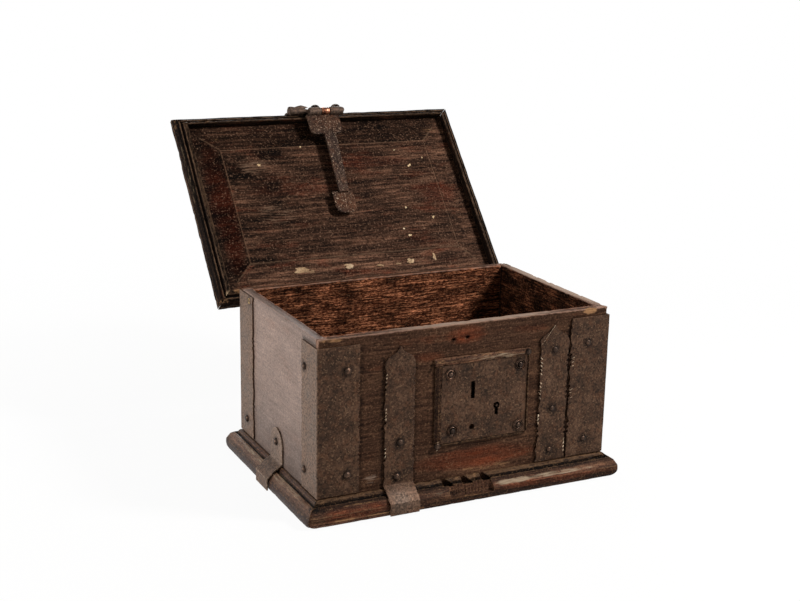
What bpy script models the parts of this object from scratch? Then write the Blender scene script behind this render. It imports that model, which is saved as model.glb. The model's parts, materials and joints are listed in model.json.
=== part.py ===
# Studded wooden casket, lid open. Metres, +Z up, front face towards -Y,
# origin at the middle of the underside.
import math

import bmesh
import bpy
from mathutils import Matrix, Vector

MM = 0.001

# Gap left where two pieces touch, and the play round pins and in slots
FIT = 0.3 * MM
PIN_PLAY = 0.35 * MM

# Carcase
BODY_LENGTH = 400 * MM
BODY_DEPTH = 262 * MM
BODY_HEIGHT = 220 * MM
BOARD = 12 * MM
CORNER_REBATE = 6 * MM

# Moulding round the foot, and upside down round the lid
MOULDING_HEIGHT = 23 * MM
MOULDING_OUT = 20 * MM
LID_MOULDING_OUT = 18 * MM
BEAD = 6 * MM
GROOVE_WIDTH = 2.2 * MM
GROOVE_DEPTH = 1.8 * MM
RIDGE_WIDTH = 1.3 * MM
RIDGE_DROP = 5.8 * MM
RIDGE_HEIGHT = MOULDING_HEIGHT - RIDGE_DROP
SLOPE_FOOT = 7.5 * MM
SLOPE_BULGE = 1.0 * MM
NOSE = 3.2 * MM
FOOT_BAND = 6.5 * MM
MITRE_GAP = 0.2 * MM

# Finger recess chopped in the front moulding
RECESS_HALF = 36 * MM
RECESS_SLANT = 7 * MM
RECESS_BACK = 9 * MM
RECESS_FLOOR = 3 * MM
RECESS_FLOOR_OUT = 14.5 * MM

# Iron
IRON = 2.0 * MM
IRON_ABOVE_MOULDING = 1.0 * MM
IRON_BELOW_RIM = 10 * MM
BACK_IRON_BELOW_RIM = 2 * MM
IRON_FOOT = MOULDING_HEIGHT + IRON_ABOVE_MOULDING
IRON_HEAD = BODY_HEIGHT - IRON_BELOW_RIM
BACK_IRON_HEAD = BODY_HEIGHT - BACK_IRON_BELOW_RIM
CORNER_LEG_FRONT = 53 * MM
CORNER_LEG_END = 46 * MM
STRAP_WIDTH = 40 * MM
STRAP_SHOULDER = 18 * MM
LEFT_STRAP_BELOW_RIM = 19 * MM
RIGHT_STRAP_BELOW_RIM = 16 * MM
END_STRAP_HEAD = 69 * MM
NICK = 2.2 * MM
NICK_PITCH = 6.5 * MM
NICK_GROUPS = (66 * MM, 114 * MM, 156 * MM)

# Each front strap stands in the space between the lock's frame and a corner iron:
# the share of the spare room that lies to the strap's left
LEFT_STRAP_SHARE = 0.566
RIGHT_STRAP_SHARE = 0.736

# Half of a strap's pointed head: shares of its width and of its shoulder
OGEE = ((0.5, 1.0), (0.42, 0.72), (0.24, 0.5), (0.1, 0.3), (0.03, 0.0))

# Lid. Its moulding passes outside the corner irons.
IRON_PLAY = 0.7 * MM
LID_PLAY = FIT + IRON + IRON_PLAY
LID_ABOVE = 10 * MM
PANEL_LAP = 5 * MM
BEVEL_START = 14 * MM
BEVEL_END = 38 * MM
FIELD_RAISE = 3.5 * MM
LID_OPEN = math.radians(131.6)

# A strap that laps over the foot moulding keeps these distances from it
LAP_RISE = 2.5 * MM
LAP_RIDGE_GAP = 0.5 * MM
LAP_RIDGE_RISE = 1.6 * MM
LAP_NOSE_RISE = 1.7 * MM
LAP_NOSE_GAP = 0.5 * MM
LAP_FOOT = 1.2 * MM

# Nails
NAIL_HEAD = 4.2 * MM
NAIL_DOME = 2.3 * MM
NAIL_SHANK = 1.1 * MM
NAIL_LENGTH = 5.7 * MM
NAIL_HOLE = NAIL_SHANK + FIT
NAIL_SINK = 1.0 * MM
FLAT_HEAD = 0.9 * MM
ROSETTE_HEAD = 5.0 * MM

# A nail's head: shares of its radius and of its height
DOME = ((1.0, 0.0), (0.85, 0.55), (0.45, 0.93))

# Where the nails are: in from the corner or along from the strap's middle, and the height
LEFT_CORNER_NAILS = {
    "upper": (37 * MM, IRON_HEAD - 31 * MM),
    "lower": (37 * MM, IRON_FOOT + 25 * MM),
}
LEFT_CORNER_END_IN = 36.4 * MM
RIGHT_CORNER_NAILS = {
    "upper": (28.5 * MM, IRON_HEAD - 34 * MM),
    "lower": (28.5 * MM, IRON_FOOT + 22 * MM),
}
BACK_CORNER_NAILS = {
    "upper": (35 * MM, BACK_IRON_HEAD - 7 * MM),
    "lower": (23 * MM, IRON_FOOT + 22 * MM),
}
LEFT_STRAP_NAILS = {
    "upper": (1 * MM, IRON_FOOT + 56 * MM),
    "lower": (-3 * MM, IRON_FOOT + 12 * MM),
}
RIGHT_STRAP_NAILS = {
    "upper": (0.8 * MM, BODY_HEIGHT - 47.6 * MM),
    "middle": (0, IRON_FOOT + 70 * MM),
    "lower": (-1.2 * MM, IRON_FOOT + 14.4 * MM),
}
END_STRAP_NAIL_DROP = 18 * MM

# Lock. Heights are drops from the rim, because the hasp hangs from the lid.
PLATE_WIDTH = 120 * MM
PLATE_HEIGHT = 100.5 * MM
PLATE_X = 22.3 * MM
PLATE_DROP = 100.4 * MM
PLATE_Z = BODY_HEIGHT - PLATE_DROP
PLATE_NAILS = {
    "top_left": (-48.6 * MM, 38.4 * MM),
    "top_right": (49.5 * MM, 39.6 * MM),
    "bottom_left": (-44.3 * MM, -35.4 * MM),
    "bottom_right": (49.6 * MM, -40.2 * MM),
}
STAPLE_X = 5.7 * MM
SLOT_WIDTH = 5.4 * MM
SLOT_HEIGHT = 22.4 * MM
SLOT_DROP = 86 * MM
SLOT_Z = BODY_HEIGHT - SLOT_DROP
KEYHOLE_X = 39.9 * MM
KEYHOLE_DROP = 110.4 * MM
KEYHOLE_Z = BODY_HEIGHT - KEYHOLE_DROP
KEYHOLE = 4.5 * MM
KEYHOLE_TAIL = 12.4 * MM
KEYHOLE_TAIL_WIDTH = 4.4 * MM
STUD_HOLE = 3.8 * MM
STUD_DROP = 134 * MM
STUD_Z = BODY_HEIGHT - STUD_DROP
CASE_LEFT = -9 * MM
CASE_RIGHT = 61 * MM
CASE_DROP = 70 * MM
CASE_HEIGHT = 57 * MM
CASE_TOP = BODY_HEIGHT - CASE_DROP
CASE_BOTTOM = CASE_TOP - CASE_HEIGHT
CASE_DEPTH = 9.4 * MM
CASE_WALL = 1.4 * MM
RIB = 1.8 * MM
RIB_LEFT = 13 * MM
BOLT_HEIGHT = 7 * MM
BOLT_LENGTH = 42 * MM
BOLT_FRONT = 1.9 * MM
BOLT_THICK = 3.6 * MM
BOLT_REST_TIP = 14.5 * MM
DRILL_PIN = 1.6 * MM
DRILL_PIN_PROUD = 0.6 * MM
FRAME_OUT = 4.0 * MM
FRAME_BROAD = 9.5 * MM
FRAME_NARROW = 3.6 * MM
FRAME_LIP = 11 * MM

# Section of a frame bar: out from the board, and a share of the bar's width
FRAME_STEP_OUT = 2.4 * MM
FRAME_EDGE_OUT = 2.0 * MM
FRAME_SECTION = (
    (FIT, 0),
    (FRAME_OUT, 0),
    (FRAME_OUT, 0.45),
    (FRAME_STEP_OUT, 0.8),
    (FRAME_EDGE_OUT, 1),
    (FIT, 1),
)

# Lid hinges
HINGE_IN = 80 * MM
HINGE_WIDTH = 34 * MM
LEAF = 2.4 * MM
HINGE_OUT = 19.6 * MM
HINGE_DROP = 19 * MM
KNUCKLE = 4.4 * MM
HINGE_PIN = 1.9 * MM
BACK_LEAF_DROP = 100 * MM
CRANK_DROP = 44 * MM
LEDGE_LENGTH = 10 * MM
LEDGE_THICK = 3 * MM
LID_LEAF_REACH = 80 * MM

# Hasp and its hinge
HASP_OUT = 9.5 * MM
HASP_DROP = 22 * MM
HASP_KNUCKLE = 4.2 * MM
HASP_PIN = 1.6 * MM
HASP_FOLD = math.radians(91)
BARREL_LEFT = -18.7 * MM
BARREL_RIGHT = 34.6 * MM
MIDDLE_LEFT = -0.2 * MM
MIDDLE_RIGHT = 13.4 * MM
SIDE_PLAY = 0.4 * MM
HASP_STRAP_LEFT = -46 * MM
HASP_STRAP_RIGHT = 34 * MM
HASP_STRAP_REACH = 45 * MM
HASP_STRAP_NECK = 14 * MM
LEAF_LEFT = -24 * MM
LEAF_RIGHT = 27 * MM
LEAF_LENGTH = 38 * MM
LEAF_CORNER = 8 * MM
HASP_LEAF = 3.0 * MM
ARM_TOP_X = 5.8 * MM
ARM_END_X = 0.4 * MM
ARM_TOP_WIDTH = 18.4 * MM
ARM_END_WIDTH = 15 * MM
ARM_END = 137 * MM
ARM = 3.8 * MM
FOOT_START = 134.5 * MM
FOOT_END = 170 * MM
FOOT_X = -1.3 * MM
FOOT_WIDTH = 32 * MM
FOOT_CORNER = 10 * MM
FOOT_OVERLAP = 0.5 * MM
STAPLE_HEIGHT = 18 * MM
STAPLE_WIDTH = 4 * MM
STAPLE_TIP = 7.4 * MM
STAPLE_END = 1.6 * MM
STAPLE_EYE = 9.6 * MM
STUD = 2.6 * MM
STUD_TIP = 1.2 * MM

ROUND_SIDE_COUNT = 16
SMALL_SIDE_COUNT = 10

DARK_OAK = ((0.035, 0.018, 0.012), 0.45, 0.0)
WORN_OAK = ((0.075, 0.035, 0.022), 0.5, 0.0)
OLD_IRON = ((0.07, 0.055, 0.045), 0.5, 0.85)
BRIGHT_IRON = ((0.16, 0.12, 0.09), 0.4, 0.9)

for old in list(bpy.data.objects):
    bpy.data.objects.remove(old, do_unlink=True)

# Each side of the carcase: the way it runs, the way it faces, how far its face
# is from the middle, and half its length
SIDES = {
    "front": (Vector((1, 0, 0)), Vector((0, -1, 0)), BODY_DEPTH / 2, BODY_LENGTH / 2),
    "right": (Vector((0, 1, 0)), Vector((1, 0, 0)), BODY_LENGTH / 2, BODY_DEPTH / 2),
    "back": (Vector((-1, 0, 0)), Vector((0, 1, 0)), BODY_DEPTH / 2, BODY_LENGTH / 2),
    "left": (Vector((0, -1, 0)), Vector((-1, 0, 0)), BODY_LENGTH / 2, BODY_DEPTH / 2),
}


def at(side, along, out, up):
    run, away, face, _ = SIDES[side]
    return run * along + away * (face + out) + Vector((0, 0, up))


def link(name, verts, faces):
    mesh = bpy.data.meshes.new(name)
    mesh.from_pydata([tuple(v) for v in verts], [], faces)
    work = bmesh.new()
    work.from_mesh(mesh)
    bmesh.ops.recalc_face_normals(work, faces=work.faces)
    work.to_mesh(mesh)
    work.free()
    piece = bpy.data.objects.new(name, mesh)
    bpy.context.scene.collection.objects.link(piece)
    return piece


def loft(name, rings):
    count = len(rings[0])
    verts = [point for ring in rings for point in ring]
    faces = [tuple(range(count)), tuple(range(len(verts) - count, len(verts)))]
    for ring in range(len(rings) - 1):
        for i in range(count):
            a = ring * count + i
            b = ring * count + (i + 1) % count
            faces.append((a, b, b + count, a + count))
    return link(name, verts, faces)


def bar(name, side, outline, start, end):
    # outline is (out, up); the piece runs along the side
    return loft(name, [[at(side, along, out, up) for out, up in outline] for along in (start, end)])


def sheet(name, side, outline, inner, outer):
    # outline is (along, up); the piece is as thick as inner to outer
    return loft(name, [[at(side, along, out, up) for along, up in outline] for out in (inner, outer)])


def rectangle(left, bottom, right, top):
    return [(left, bottom), (right, bottom), (right, top), (left, top)]


def circle(centre, radius, count):
    turns = [2 * math.pi * (i + 0.5) / count for i in range(count)]
    return [(centre[0] + radius * math.cos(t), centre[1] + radius * math.sin(t)) for t in turns]


def arc(centre, radius, first, last, steps):
    turns = [math.radians(first + (last - first) * i / steps) for i in range(steps + 1)]
    return [(centre[0] + radius * math.cos(t), centre[1] + radius * math.sin(t)) for t in turns]


def thicken(path, thickness):
    # The path is one face of a strip; the other face is to the left of its direction
    points = [Vector(p) for p in path]
    other = []
    for i, point in enumerate(points):
        before = (point - points[i - 1]).normalized() if i else None
        after = (points[i + 1] - point).normalized() if i + 1 < len(points) else None
        before = before or after
        after = after or before
        first = Vector((-before.y, before.x))
        second = Vector((-after.y, after.x))
        middle = (first + second).normalized()
        other.append(point + middle * (thickness / middle.dot(first)))
    return [tuple(p) for p in points] + [tuple(p) for p in reversed(other)]


def combine(piece, operation, tools):
    for tool in tools:
        step = piece.modifiers.new(operation, "BOOLEAN")
        step.operation = operation
        step.solver = "EXACT"
        step.object = tool
        bpy.context.view_layer.update()
        graph = bpy.context.evaluated_depsgraph_get()
        result = bpy.data.meshes.new_from_object(piece.evaluated_get(graph))
        piece.modifiers.clear()
        piece.data = result
        bpy.data.objects.remove(tool, do_unlink=True)
    return piece


def cut(piece, *tools):
    return combine(piece, "DIFFERENCE", tools)


def join(piece, *tools):
    return combine(piece, "UNION", tools)


def hole(side, along, up, radius, inner, outer, count=SMALL_SIDE_COUNT):
    return sheet("tool", side, circle((along, up), radius, count), inner, outer)


def finish(piece, look, parent=None, pivot=None):
    colour, roughness, metallic = look
    material = bpy.data.materials.new(piece.name)
    material.use_nodes = True
    shader = material.node_tree.nodes["Principled BSDF"]
    shader.inputs["Base Color"].default_value = (*colour, 1)
    shader.inputs["Roughness"].default_value = roughness
    shader.inputs["Metallic"].default_value = metallic
    piece.data.materials.clear()
    piece.data.materials.append(material)
    piece.data.name = piece.name
    if parent:
        piece.data.transform(Matrix.Translation(-pivot))
        piece.parent = parent
    else:
        corners = [Vector(c) for c in piece.bound_box]
        middle = sum(corners, Vector()) / len(corners)
        piece.data.transform(Matrix.Translation(-middle))
        piece.location = middle
    return piece


def moulding_profile(start, reach, band=0):
    # (out, up) from the top of the bead by the wall, round the nose and down a plain band, to the foot
    bead_foot = MOULDING_HEIGHT - BEAD
    groove_in = start + BEAD + FIT
    groove_out = groove_in + GROOVE_WIDTH
    ridge_out = groove_out + RIDGE_WIDTH
    slope = [(ridge_out, RIDGE_HEIGHT)]
    nose_out = start + reach
    fall = Vector((nose_out - ridge_out, SLOPE_FOOT - RIDGE_HEIGHT))
    away = Vector((-fall.y, fall.x)).normalized()
    for share in (1 / 3, 2 / 3):
        point = Vector(slope[0]) + fall * share + away * SLOPE_BULGE
        slope.append(tuple(point))
    profile = list(reversed(arc((start, bead_foot), BEAD, 0, 90, 3)))
    profile += [(groove_in, RIDGE_HEIGHT - GROOVE_DEPTH), (groove_out, RIDGE_HEIGHT - GROOVE_DEPTH)]
    profile += [(groove_out, RIDGE_HEIGHT)] + slope
    profile += [(nose_out, SLOPE_FOOT)]
    profile += arc((nose_out - NOSE, NOSE - band), NOSE, 0, -90, 2)
    return profile + [(start, -band)]


def mitred(name, side, profile):
    half = SIDES[side][3]
    ends = []
    for end in (-1, 1):
        ends.append([at(side, end * (half + out - MITRE_GAP), out, up) for out, up in profile])
    return loft(name, ends)


# Carcase boards. The front and back run the whole length and are rebated for the ends.
for side in ("front", "back"):
    half = BODY_LENGTH / 2
    board = sheet(side + "_board", side, rectangle(-half, -FOOT_BAND, half, BODY_HEIGHT), -BOARD, 0)
    for end in (-1, 1):
        near, far = sorted((end * (half - BOARD), end * (half + BOARD)))
        rebate = rectangle(near, -FOOT_BAND - BOARD, far, BODY_HEIGHT + BOARD)
        cut(board, sheet("tool", side, rebate, -2 * BOARD, -BOARD + CORNER_REBATE))
    if side == "back":
        finish(board, DARK_OAK)
front_board = bpy.data.objects["front_board"]

end_half = BODY_DEPTH / 2 - (BOARD - CORNER_REBATE) - FIT
end_boards = {}
for side in ("left", "right"):
    outline = rectangle(-end_half, -FOOT_BAND, end_half, BODY_HEIGHT)
    end_boards[side] = sheet(side + "_end_board", side, outline, -BOARD + FIT, 0)

floor_length = BODY_LENGTH / 2 - BOARD - FIT
floor_depth = BODY_DEPTH - 2 * BOARD - 2 * FIT
floor_outline = rectangle(-floor_length, -FOOT_BAND, floor_length, BOARD - FOOT_BAND)
bottom = sheet("bottom_board", "front", floor_outline, 0, floor_depth)
bottom.data.transform(Matrix.Translation((0, BOARD + FIT + floor_depth, 0)))
finish(bottom, DARK_OAK)

# Foot moulding
foot_profile = moulding_profile(FIT, MOULDING_OUT, FOOT_BAND)
for side in SIDES:
    length = mitred("base_moulding_" + side, side, foot_profile)
    if side == "front":
        section = [
            (RECESS_BACK, MOULDING_HEIGHT),
            (RECESS_FLOOR_OUT, RECESS_FLOOR),
            (2 * MOULDING_OUT, RECESS_FLOOR),
            (2 * MOULDING_OUT, MOULDING_HEIGHT),
        ]
        recess = []
        for end in (-1, 1):
            ring = []
            for out, up in section:
                flare = RECESS_SLANT if out > RECESS_FLOOR_OUT else 0
                ring.append(at(side, end * (RECESS_HALF - RECESS_SLANT + flare), out, up))
            recess.append(ring)
        cut(length, loft("tool", recess))
    finish(length, WORN_OAK)


def nick_tools(side, along, inner, outer):
    tools = []
    for group in NICK_GROUPS:
        for step in (-1, 0, 1):
            tools.append(hole(side, along, group + step * NICK_PITCH, NICK, inner, outer, 6))
    return tools


# Each nail goes through an iron into the board behind it
NAILS = []


def nail_at(name, side, along, up, iron, head=NAIL_HEAD, sink=0, dome=NAIL_DOME):
    wood = end_boards[side] if side in end_boards else front_board
    seat = FIT + IRON - sink
    cut(iron, hole(side, along, up, NAIL_HOLE, -BOARD, BOARD))
    if sink:
        cut(iron, hole(side, along, up, head + FIT, seat, BOARD))
    cut(wood, hole(side, along, up, NAIL_HOLE, -NAIL_LENGTH - FIT, BOARD))
    NAILS.append((name, side, along, up, head, seat + FIT, dome))


# Corner irons: an angle in plan, nicked on both free edges
for end in ("front", "back"):
    for hand in ("left", "right"):
        x_sign = -1 if hand == "left" else 1
        y_sign = -1 if end == "front" else 1
        face_x = BODY_LENGTH / 2 + FIT
        face_y = BODY_DEPTH / 2 + FIT
        plan = [
            (face_x + IRON, face_y + IRON),
            (BODY_LENGTH / 2 - CORNER_LEG_FRONT, face_y + IRON),
            (BODY_LENGTH / 2 - CORNER_LEG_FRONT, face_y),
            (face_x, face_y),
            (face_x, BODY_DEPTH / 2 - CORNER_LEG_END),
            (face_x + IRON, BODY_DEPTH / 2 - CORNER_LEG_END),
        ]
        head = IRON_HEAD if end == "front" else BACK_IRON_HEAD
        rings = [[(x_sign * x, y_sign * y, z) for x, y in plan] for z in (IRON_FOOT, head)]
        iron = loft("corner_iron_" + end + "_" + hand, rings)
        along_face = x_sign * (BODY_LENGTH / 2 - CORNER_LEG_FRONT) * (1 if end == "front" else -1)
        along_end = y_sign * (BODY_DEPTH / 2 - CORNER_LEG_END) * (1 if hand == "right" else -1)
        cut(iron, *nick_tools(end, along_face, 0, BOARD), *nick_tools(hand, along_end, 0, BOARD))

half_length = BODY_LENGTH / 2
half_depth = BODY_DEPTH / 2
iron = bpy.data.objects["corner_iron_front_left"]
for word, (inset, up) in LEFT_CORNER_NAILS.items():
    nail_at("nail_corner_left_" + word, "front", inset - half_length, up, iron)
    nail_at("nail_corner_end_" + word, "left", half_depth - LEFT_CORNER_END_IN, up, iron)
iron = bpy.data.objects["corner_iron_front_right"]
for word, (inset, up) in RIGHT_CORNER_NAILS.items():
    nail_at("nail_corner_right_" + word, "front", half_length - inset, up, iron)
# The upper one of these is sunk, because the closed lid's moulding passes over it
iron = bpy.data.objects["corner_iron_back_left"]
inset, up = BACK_CORNER_NAILS["upper"]
nail_at("nail_back_iron_upper", "left", inset - half_depth, up, iron, sink=NAIL_SINK, dome=FLAT_HEAD)
inset, up = BACK_CORNER_NAILS["lower"]
nail_at("nail_back_iron_lower", "left", inset - half_depth, up, iron)
for end in ("front", "back"):
    for hand in ("left", "right"):
        finish(bpy.data.objects["corner_iron_" + end + "_" + hand], OLD_IRON)

# Straps. Seen from the side they are a strip, straight or lapped over the foot moulding.
nose_gap = FIT + MOULDING_OUT + LAP_NOSE_GAP
ridge_gap = FIT + BEAD + FIT + GROOVE_WIDTH + RIDGE_WIDTH + LAP_RIDGE_GAP
lapped = [
    (nose_gap, LAP_FOOT - FOOT_BAND),
    (nose_gap, SLOPE_FOOT + LAP_NOSE_RISE),
    (ridge_gap, RIDGE_HEIGHT + LAP_RIDGE_RISE),
    (FIT, MOULDING_HEIGHT + LAP_RISE),
]


def strap(name, side, middle, head, foot_path, tip):
    path = foot_path + [(FIT, head)]
    half = STRAP_WIDTH / 2
    piece = bar(name, side, thicken(list(reversed(path)), IRON), middle - half, middle + half)
    for hand in (-1, 1):
        corner = [(middle + hand * x, head - y) for x, y in tip]
        corner.append((middle + hand * tip[-1][0], head + half))
        corner.append((middle + hand * STRAP_WIDTH, head + half))
        cut(piece, sheet("tool", side, corner, -BOARD, BOARD))
    return piece


ogee = [(STRAP_WIDTH, STRAP_SHOULDER)]
for share, drop in OGEE:
    ogee.append((STRAP_WIDTH * share, STRAP_SHOULDER * drop))
round_head = [(STRAP_WIDTH, STRAP_WIDTH / 2)]
for turn in (0, 30, 60, 80):
    angle = math.radians(turn)
    round_head.append((STRAP_WIDTH / 2 * math.cos(angle), STRAP_WIDTH / 2 * (1 - math.sin(angle))))

plate_left = PLATE_X - PLATE_WIDTH / 2
plate_right = PLATE_X + PLATE_WIDTH / 2
iron_edge = half_length - CORNER_LEG_FRONT
left_room = plate_left - FRAME_LIP + iron_edge - STRAP_WIDTH
left_x = -iron_edge + left_room * LEFT_STRAP_SHARE + STRAP_WIDTH / 2
frame_edge = plate_right + FIT + FRAME_NARROW
right_room = iron_edge - frame_edge - STRAP_WIDTH
right_x = frame_edge + right_room * RIGHT_STRAP_SHARE + STRAP_WIDTH / 2
left_head = BODY_HEIGHT - LEFT_STRAP_BELOW_RIM
right_head = BODY_HEIGHT - RIGHT_STRAP_BELOW_RIM
left_strap = strap("front_strap_left", "front", left_x, left_head, lapped, ogee)
right_strap = strap("front_strap_right", "front", right_x, right_head, [(FIT, IRON_FOOT)], ogee)
for hand, piece, middle, nails in (
    ("left", left_strap, left_x, LEFT_STRAP_NAILS),
    ("right", right_strap, right_x, RIGHT_STRAP_NAILS),
):
    for edge in (-1, 1):
        cut(piece, *nick_tools("front", middle + edge * STRAP_WIDTH / 2, 0, BOARD))
    for word, (along, up) in nails.items():
        nail_at("nail_strap_" + hand + "_" + word, "front", middle + along, up, piece)
finish(left_strap, OLD_IRON)
finish(right_strap, OLD_IRON)
for side in ("left", "right"):
    piece = strap("end_strap_" + side, side, 0, END_STRAP_HEAD, lapped, round_head)
    if side == "left":
        nail_at("nail_end_strap", side, 0, END_STRAP_HEAD - END_STRAP_NAIL_DROP, piece)
    finish(piece, OLD_IRON)

# Lock plate and the frame of applied moulding round it
plate_bottom = PLATE_Z - PLATE_HEIGHT / 2
plate_top = PLATE_Z + PLATE_HEIGHT / 2
plate = sheet(
    "lock_plate", "front", rectangle(plate_left, plate_bottom, plate_right, plate_top), FIT, FIT + IRON
)
slot = rectangle(
    STAPLE_X - SLOT_WIDTH / 2,
    SLOT_Z - SLOT_HEIGHT / 2,
    STAPLE_X + SLOT_WIDTH / 2,
    SLOT_Z + SLOT_HEIGHT / 2,
)
tail = rectangle(
    KEYHOLE_X - KEYHOLE_TAIL_WIDTH / 2,
    KEYHOLE_Z - KEYHOLE_TAIL,
    KEYHOLE_X + KEYHOLE_TAIL_WIDTH / 2,
    KEYHOLE_Z,
)
cut(
    plate,
    sheet("tool", "front", slot, -BOARD, BOARD),
    sheet("tool", "front", tail, -BOARD, BOARD),
    hole("front", KEYHOLE_X, KEYHOLE_Z, KEYHOLE, -BOARD, BOARD, ROUND_SIDE_COUNT),
    hole("front", STAPLE_X, STUD_Z, STUD_HOLE, -BOARD, BOARD, ROUND_SIDE_COUNT),
)
for word, (along, up) in PLATE_NAILS.items():
    nail_at("nail_plate_" + word, "front", PLATE_X + along, PLATE_Z + up, plate, head=ROSETTE_HEAD)
finish(plate, OLD_IRON)

frame_top = [(out, plate_top + FIT + share * FRAME_BROAD) for out, share in FRAME_SECTION]
frame_bottom = [(out, plate_bottom - FIT - share * FRAME_NARROW) for out, share in FRAME_SECTION]
top_bar = bar("lock_frame_top", "front", frame_top, plate_left - FRAME_LIP, plate_right + FRAME_NARROW)
finish(top_bar, WORN_OAK)
finish(bar("lock_frame_bottom", "front", frame_bottom, plate_left, plate_right), WORN_OAK)
for name, edge, width in (
    ("left", plate_left - FIT, -FRAME_BROAD),
    ("right", plate_right + FIT, FRAME_NARROW),
):
    ends = []
    for up in (plate_bottom, plate_top):
        ends.append([at("front", edge + share * width, out, up) for out, share in FRAME_SECTION])
    finish(loft("lock_frame_" + name, ends), WORN_OAK)

# Lock case in a blind mortise behind the plate, with two ribs that guide the bolt
mortise = rectangle(CASE_LEFT - FIT, CASE_BOTTOM - FIT, CASE_RIGHT + FIT, CASE_TOP + FIT)
cut(front_board, sheet("tool", "front", mortise, -CASE_DEPTH - FIT, BOARD))
cut(front_board, hole("front", STAPLE_X, STUD_Z, STUD_HOLE, -CASE_DEPTH / 2, BOARD, ROUND_SIDE_COUNT))
case = sheet(
    "lock_case", "front", rectangle(CASE_LEFT, CASE_BOTTOM, CASE_RIGHT, CASE_TOP), -CASE_DEPTH, 0
)
hollow = rectangle(
    CASE_LEFT + CASE_WALL, CASE_BOTTOM + CASE_WALL, CASE_RIGHT - CASE_WALL, CASE_TOP - CASE_WALL
)
cut(case, sheet("tool", "front", hollow, -CASE_DEPTH + CASE_WALL, BOARD))
for hand in (-1, 1):
    near = SLOT_Z + hand * (BOLT_HEIGHT / 2 + FIT)
    low, high = sorted((near, near + hand * RIB))
    rib = rectangle(RIB_LEFT, low, CASE_RIGHT - CASE_WALL / 2, high)
    join(case, sheet("tool", "front", rib, -CASE_DEPTH + CASE_WALL / 2, -BOLT_FRONT))
finish(case, OLD_IRON)
pin = hole(
    "front", KEYHOLE_X, KEYHOLE_Z, DRILL_PIN, -CASE_DEPTH + CASE_WALL + FIT, FIT + IRON + DRILL_PIN_PROUD
)
pin.name = "drill_pin"
finish(pin, BRIGHT_IRON)
bolt = rectangle(
    BOLT_REST_TIP, SLOT_Z - BOLT_HEIGHT / 2, BOLT_REST_TIP + BOLT_LENGTH, SLOT_Z + BOLT_HEIGHT / 2
)
finish(sheet("lock_bolt", "front", bolt, -BOLT_FRONT - BOLT_THICK, -BOLT_FRONT), BRIGHT_IRON)

finish(front_board, DARK_OAK)
for board in end_boards.values():
    finish(board, DARK_OAK)

for name, side, along, up, head, seat, dome in NAILS:
    steps = [(NAIL_SHANK, -NAIL_LENGTH), (NAIL_SHANK, seat)]
    steps += [(head * share, seat + dome * rise) for share, rise in DOME]
    rings = []
    for radius, out in steps:
        rings.append([at(side, a, out, b) for a, b in circle((along, up), radius, SMALL_SIDE_COUNT)])
    finish(loft(name, rings), BRIGHT_IRON)

# The lid turns on an empty at its hinge axis, and the hasp on one at its own axis
lid_pivot = Vector((0, BODY_DEPTH / 2 + HINGE_OUT, BODY_HEIGHT - HINGE_DROP))
hasp_pivot = Vector((0, -BODY_DEPTH / 2 - HASP_OUT, BODY_HEIGHT - HASP_DROP))
lid_axis = bpy.data.objects.new("lid_axis", None)
hasp_axis = bpy.data.objects.new("hasp_axis", None)
for empty in (lid_axis, hasp_axis):
    bpy.context.scene.collection.objects.link(empty)
lid_axis.location = lid_pivot
lid_axis.rotation_euler = (-LID_OPEN, 0, 0)
hasp_axis.parent = lid_axis
hasp_axis.location = hasp_pivot - lid_pivot
hasp_axis.rotation_euler = (HASP_FOLD, 0, 0)

# Lid moulding, rebated for the panel, and the fielded panel
lid_top = BODY_HEIGHT + LID_ABOVE
lap = LID_PLAY + PANEL_LAP
lid_profile = [(out, lid_top - up) for out, up in moulding_profile(LID_PLAY, LID_MOULDING_OUT)[:-1]]
lid_profile += [(lap + FIT, lid_top), (lap + FIT, BODY_HEIGHT), (LID_PLAY, BODY_HEIGHT)]
for side in SIDES:
    finish(mitred("lid_moulding_" + side, side, lid_profile), WORN_OAK, lid_axis, lid_pivot)
panel_rings = []
for inset, up in (
    (-lap, lid_top),
    (-lap, BODY_HEIGHT + FIT),
    (BEVEL_START, BODY_HEIGHT + FIT),
    (BEVEL_END, BODY_HEIGHT - FIELD_RAISE),
):
    x = BODY_LENGTH / 2 - inset
    y = BODY_DEPTH / 2 - inset
    panel_rings.append([(-x, -y, up), (x, -y, up), (x, y, up), (-x, y, up)])
finish(loft("lid_panel", panel_rings), DARK_OAK, lid_axis, lid_pivot)

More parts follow.
